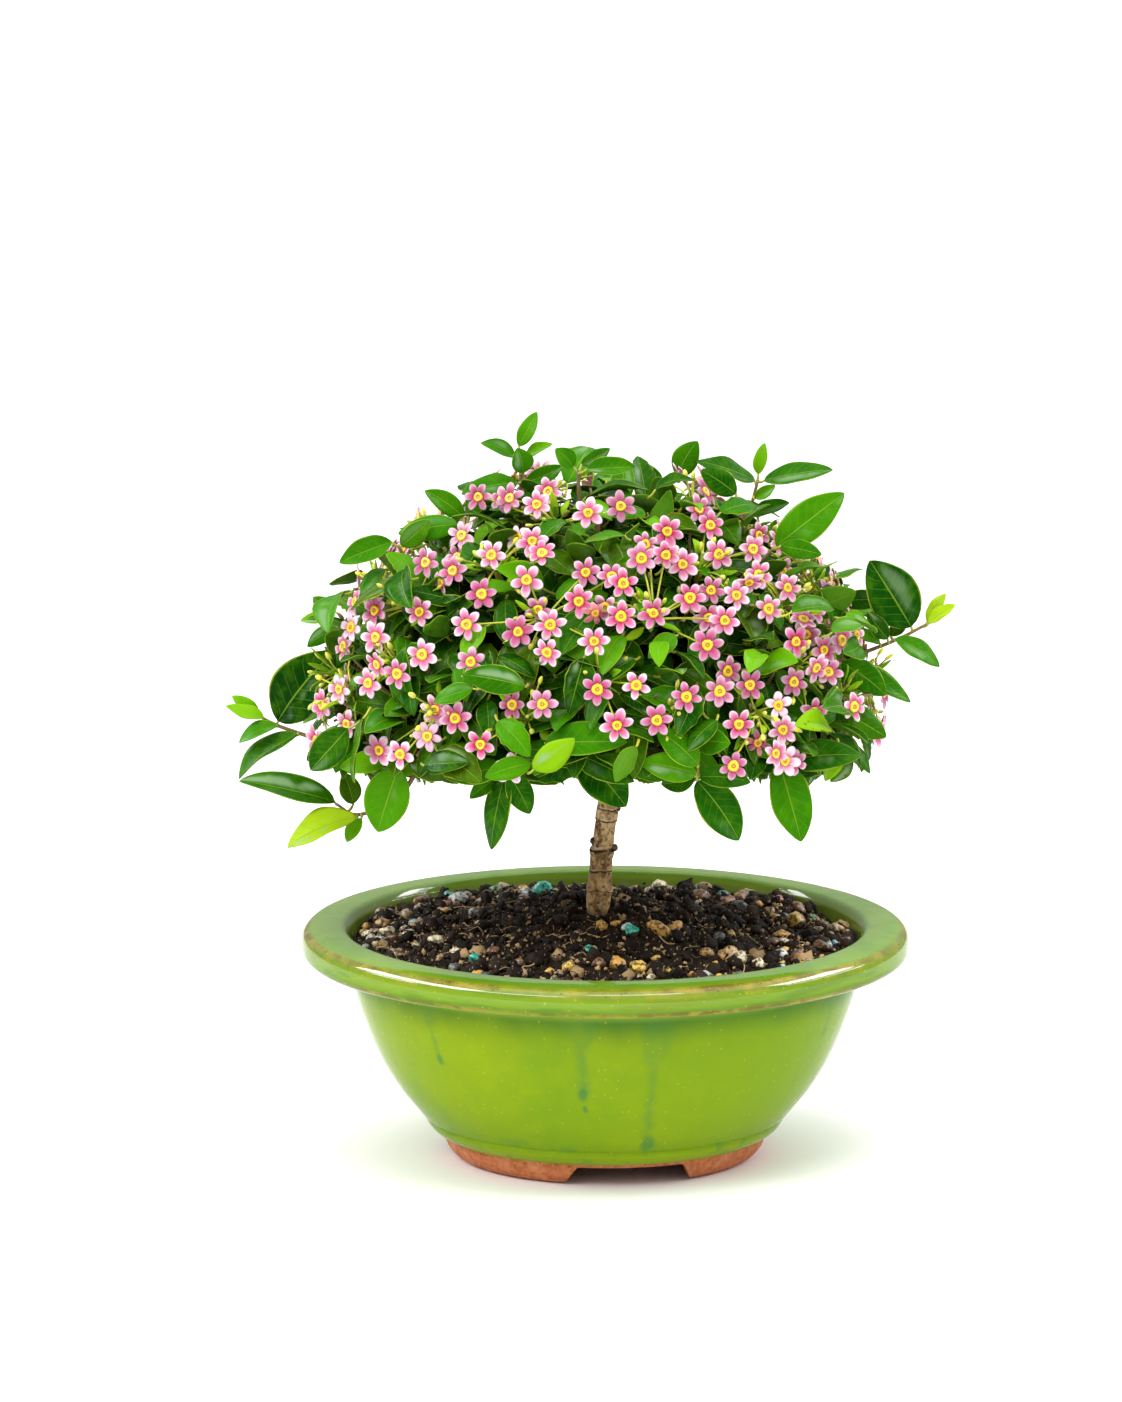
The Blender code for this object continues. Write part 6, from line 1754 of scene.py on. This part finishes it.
def bud_mark(rng, yellow_up_to, yellow_cream, brown, brown_cream):
    """The colour of a bud: cream, yellow or brown."""
    kind = rng.random()
    if kind < 0.4:
        return (0.0, rng.random(), 0.6)
    return (0.0, 1.0, yellow_cream) if kind < yellow_up_to else (brown, rng.random(), brown_cream)


def add_bloom(heap, discs, stems, bloom, wilt, rng):
    """A bloom with its petals, disc, cup and pedicel, and the buds on the pedicel."""
    petals = 5 if rng.random() < 0.12 else 6
    size = bloom["size"] * rng.uniform(0.97, 1.05)
    pale = rng.uniform(0.7, 1.3) if rng.random() < 0.1 else rng.uniform(-0.35, 0.4)
    # How much painted shade this bloom gets, at random.
    shaded = rng.random() ** 2.5
    for k in range(petals):
        turn = math.radians(bloom["roll"]) + 2.0 * math.pi * k / petals + rng.uniform(-0.07, 0.07)
        long = PETAL_LONG * size * rng.uniform(0.93, 1.04)
        wide = PETAL_WIDE * size * rng.uniform(0.9, 1.1) * (6.4 / petals) ** 0.5
        mark = (pale + rng.uniform(-0.12, 0.12), wilt, shaded * rng.uniform(0.8, 1.0))
        add_petal(heap, bloom, turn, long, wide, rng, mark)
    add_disc(discs, bloom, rng, wilt)
    face, middle, foot = (as_array(bloom[n]) for n in ("face", "middle", "foot"))
    cup = middle - face * 0.55 * MM
    add_bud(stems, cup, face, 1.7 * MM, 0.95 * MM, (0.1, rng.random(), 0.15))
    bend = cup - face * 2.2 * MM
    sway = as_array(dome_normal(bloom["foot"])) * rng.uniform(-0.6, 2.2) * MM
    halfway = foot + (bend - foot) * 0.55 + sway
    add_stem(stems, [foot, halfway, bend, cup], 3, [0.33, 0.27, 0.27, 0.38], 5,
             (rng.uniform(0.0, 0.25), 0.4 + 0.6 * rng.random(), 0.0))
    for _ in range(rng.choice((0, 0, 1, 1, 2))):
        spot = foot + (bend - foot) * rng.uniform(0.45, 0.9)
        away = as_array(dome_normal(Vector(spot))) + np.array([rng.gauss(0, 0.5) for _ in range(3)])
        away /= np.linalg.norm(away)
        tip = spot + away * rng.uniform(1.8, 3.8) * MM
        add_rod(stems, [spot, 0.5 * (spot + tip) + away * 0.1 * MM, tip], [0.2 * MM], 5,
                (0.1, rng.random(), 0.0))
        mark = bud_mark(rng, 0.85, 0.1, 0.8, 0.2)
        add_bud(stems, tip + away * 0.5 * MM, away, rng.uniform(1.3, 2.2) * MM,
                rng.uniform(0.4, 0.7) * MM, mark)


def add_umbel_foot(stems, bracts, foot, rng):
    """The stalk that an umbel stands on, with its own buds and small young leaves."""
    out = dome_normal(foot)
    path = [foot - out * 3.0 * MM, foot, foot + out * 1.6 * MM]
    add_rod(stems, path, [0.9 * MM, 0.8 * MM, 0.55 * MM], 8, (0.35, rng.random(), 0.0))
    for _ in range(UMBEL_BUDS):
        lean = Vector(rng.gauss(0.0, 0.7) for _ in range(3))
        way = (out + lean).normalized()
        tip = foot + way * rng.uniform(6.0, 13.0) * MM
        add_stem(stems, [foot, foot.lerp(tip, 0.5) + out * 0.8 * MM, tip], 3, [0.24], 5,
                 (rng.uniform(0.0, 0.3), rng.random(), 0.0))
        mark = bud_mark(rng, 0.87, 0.15, 0.9, 0.1)
        add_bud(stems, as_array(tip), as_array(way), rng.uniform(1.7, 2.9) * MM,
                rng.uniform(0.5, 0.82) * MM, mark)
    for _ in range(UMBEL_BRACTS):
        lean = Vector(rng.gauss(0.0, 0.8) for _ in range(3))
        way = (out * 0.6 + lean).normalized()
        start = foot + way * rng.uniform(0.6, 5.5) * MM
        tip = start + way * rng.uniform(3.4, 7.0) * MM
        leaf = {"foot": start, "tip": tip, "face": (out + lean * 0.3).normalized(),
                "width": rng.uniform(1.5, 2.6) * MM, "bow": rng.uniform(-0.1, 0.2)}
        add_leaf(bracts, leaf, rng.uniform(0.75, 1.0), FEW, rng)


def make_blooms(layout, more, petal, disc, stem, leaf_material):
    """Every bloom with its petals, disc, cup and pedicel, and the buds and bracts among them."""
    rng = random.Random(BLOOM_SEED)
    front, back, extra, discs, stems, bracts = Heap(), Heap(), Heap(), Heap(), Heap(), Heap()
    for i, bloom in enumerate(layout["blooms"] + more):
        own = i < len(layout["blooms"])
        wilt = 0.85 if rng.random() < (0.025 if own else 0.09) else 0.0
        heap = extra if not own else front if bloom["middle"].y < 0.0 else back
        add_bloom(heap, discs, stems, bloom, wilt, rng)
    for foot in layout["feet"].values():
        add_umbel_foot(stems, bracts, foot, rng)
    bracts.build("umbel_bracts", [leaf_material], "leaf")
    front.build("petals_front", [petal], "petal", list(layout["feet"]))
    back.build("petals_back", [petal], "petal")
    extra.build("petals_crowded", [petal], "petal")
    discs.build("bloom_discs", [disc], "petal")
    stems.build("pedicels_buds", [stem], "leaf")


def place_thing(name, data):
    """A new object in the scene."""
    thing = bpy.data.objects.new(name, data)
    bpy.context.scene.collection.objects.link(thing)
    return thing


def area_light(name, spot, power, wide, high, sheen=False):
    """A soft box that looks at the part; one for sheen only shows in gloss."""
    light = bpy.data.lights.new(name, "AREA")
    light.shape, light.size, light.size_y, light.energy = "RECTANGLE", wide, high, power
    thing = place_thing(name, light)
    thing.location = spot
    thing.rotation_euler = (Vector(LIGHT_AIM) - Vector(spot)).to_track_quat("-Z", "Y").to_euler()
    thing.visible_diffuse = not sheen


def sun_light(name, way, strength, wide):
    """Broad light from far away, from a direction."""
    light = bpy.data.lights.new(name, "SUN")
    light.energy, light.angle = strength, math.radians(wide)
    place_thing(name, light).rotation_euler = Vector(way).to_track_quat("Z", "Y").to_euler()


def make_sky():
    """A white sky, which is brighter the higher it is."""
    world = bpy.data.worlds.new("studio")
    world.use_nodes = True
    nodes, links = world.node_tree.nodes, world.node_tree.links
    place, split, rise = (nodes.new("ShaderNode" + kind) for kind in ("TexCoord", "SeparateXYZ", "MapRange"))
    links.new(place.outputs["Generated"], split.inputs[0])
    links.new(split.outputs["Z"], rise.inputs["Value"])
    rise.inputs["To Min"].default_value, rise.inputs["To Max"].default_value = SKY_LOW, SKY_HIGH
    links.new(rise.outputs[0], nodes["Background"].inputs["Strength"])
    nodes["Background"].inputs["Color"].default_value = (1.0, 1.0, 1.0, 1.0)
    bpy.context.scene.world = world


def make_studio(material):
    """A pale floor, a white sky, soft boxes, two that only add sheen, two suns, and the camera."""
    corners = [(-1, -1, 0), (1, -1, 0), (1, 1, 0), (-1, 1, 0)]
    mesh = bpy.data.meshes.new("studio_floor")
    mesh.from_pydata([Vector(corner) * FLOOR_SIZE for corner in corners], [], [(0, 1, 2, 3)])
    mesh.materials.append(material)
    floor = place_thing("studio_floor", mesh)
    make_sky()
    area_light("box_left", (-0.8, -1.0, 1.0), KEY_POWER, 1.05, 0.16)
    area_light("box_top", (0.2, -0.7, 1.35), TOP_POWER, 0.7, 0.3)
    area_light("strip_left", (-1.38, 0.05, 0.75), STRIP_POWER, 0.65, 0.05)
    area_light("strip_right", (1.35, 0.2, 0.75), 1.3 * STRIP_POWER, 1.2, 0.05)
    area_light("sheen_left", (-1.25, 0.0, 1.15), SHEEN_POWER, 1.7, 0.45, True)
    area_light("sheen_right", (1.22, 0.28, 1.15), 0.55 * SHEEN_POWER, 1.2, 0.35, True)
    sun_light("sky_left", (-0.5, -0.45, 1.0), SUN_KEY, 40.0)
    sun_light("sky_top", (0.25, 0.1, 1.0), SUN_TOP, 70.0)
    lens = bpy.data.cameras.new("camera")
    lens.sensor_fit = "VERTICAL"
    lens.sensor_height = 36.0
    lens.lens = CAMERA_LENS
    lens.clip_end = 60.0
    camera = place_thing("camera", lens)
    aim = vec(CAMERA_AIM) + SHIFT
    tilt = math.radians(CAMERA_RISE)
    spot = aim + CAMERA_FAR * Vector((0.0, -math.cos(tilt), math.sin(tilt)))
    camera.location = spot
    camera.rotation_euler = (aim - spot).to_track_quat("-Z", "Y").to_euler()
    bpy.context.scene.camera = camera
    bpy.context.scene.view_settings.view_transform = "Standard"


layout = crown_layout()
crowd = Crowd()
for shoot in layout["shoots"]:
    for leaf in shoot["leaves"]:
        crowd.add(leaf_samples(leaf), "shoots")
for leaves in layout["leaves"].values():
    for leaf in leaves:
        crowd.add(leaf_samples(leaf), "crown")
for bloom in layout["blooms"]:
    crowd.add(petal_room(bloom), "blooms")
more_blooms = extra_blooms(layout, crowd)
outer_leaves, inner_leaves = filler_leaves(crowd)

leaf_material, stem_material = leaf_paint(), stem_paint()
make_fine_pot(glaze_paint(), clay_paint())
make_fine_soil(soil_paint(), pebble_paint())
make_fine_trunk(layout["cells"], bark_paint())
make_leaves(layout, outer_leaves, inner_leaves, leaf_material, stem_material)
make_shade(shade_paint())
make_blooms(layout, more_blooms, petal_paint(), disc_paint(), stem_material, leaf_material)
make_studio(floor_paint())
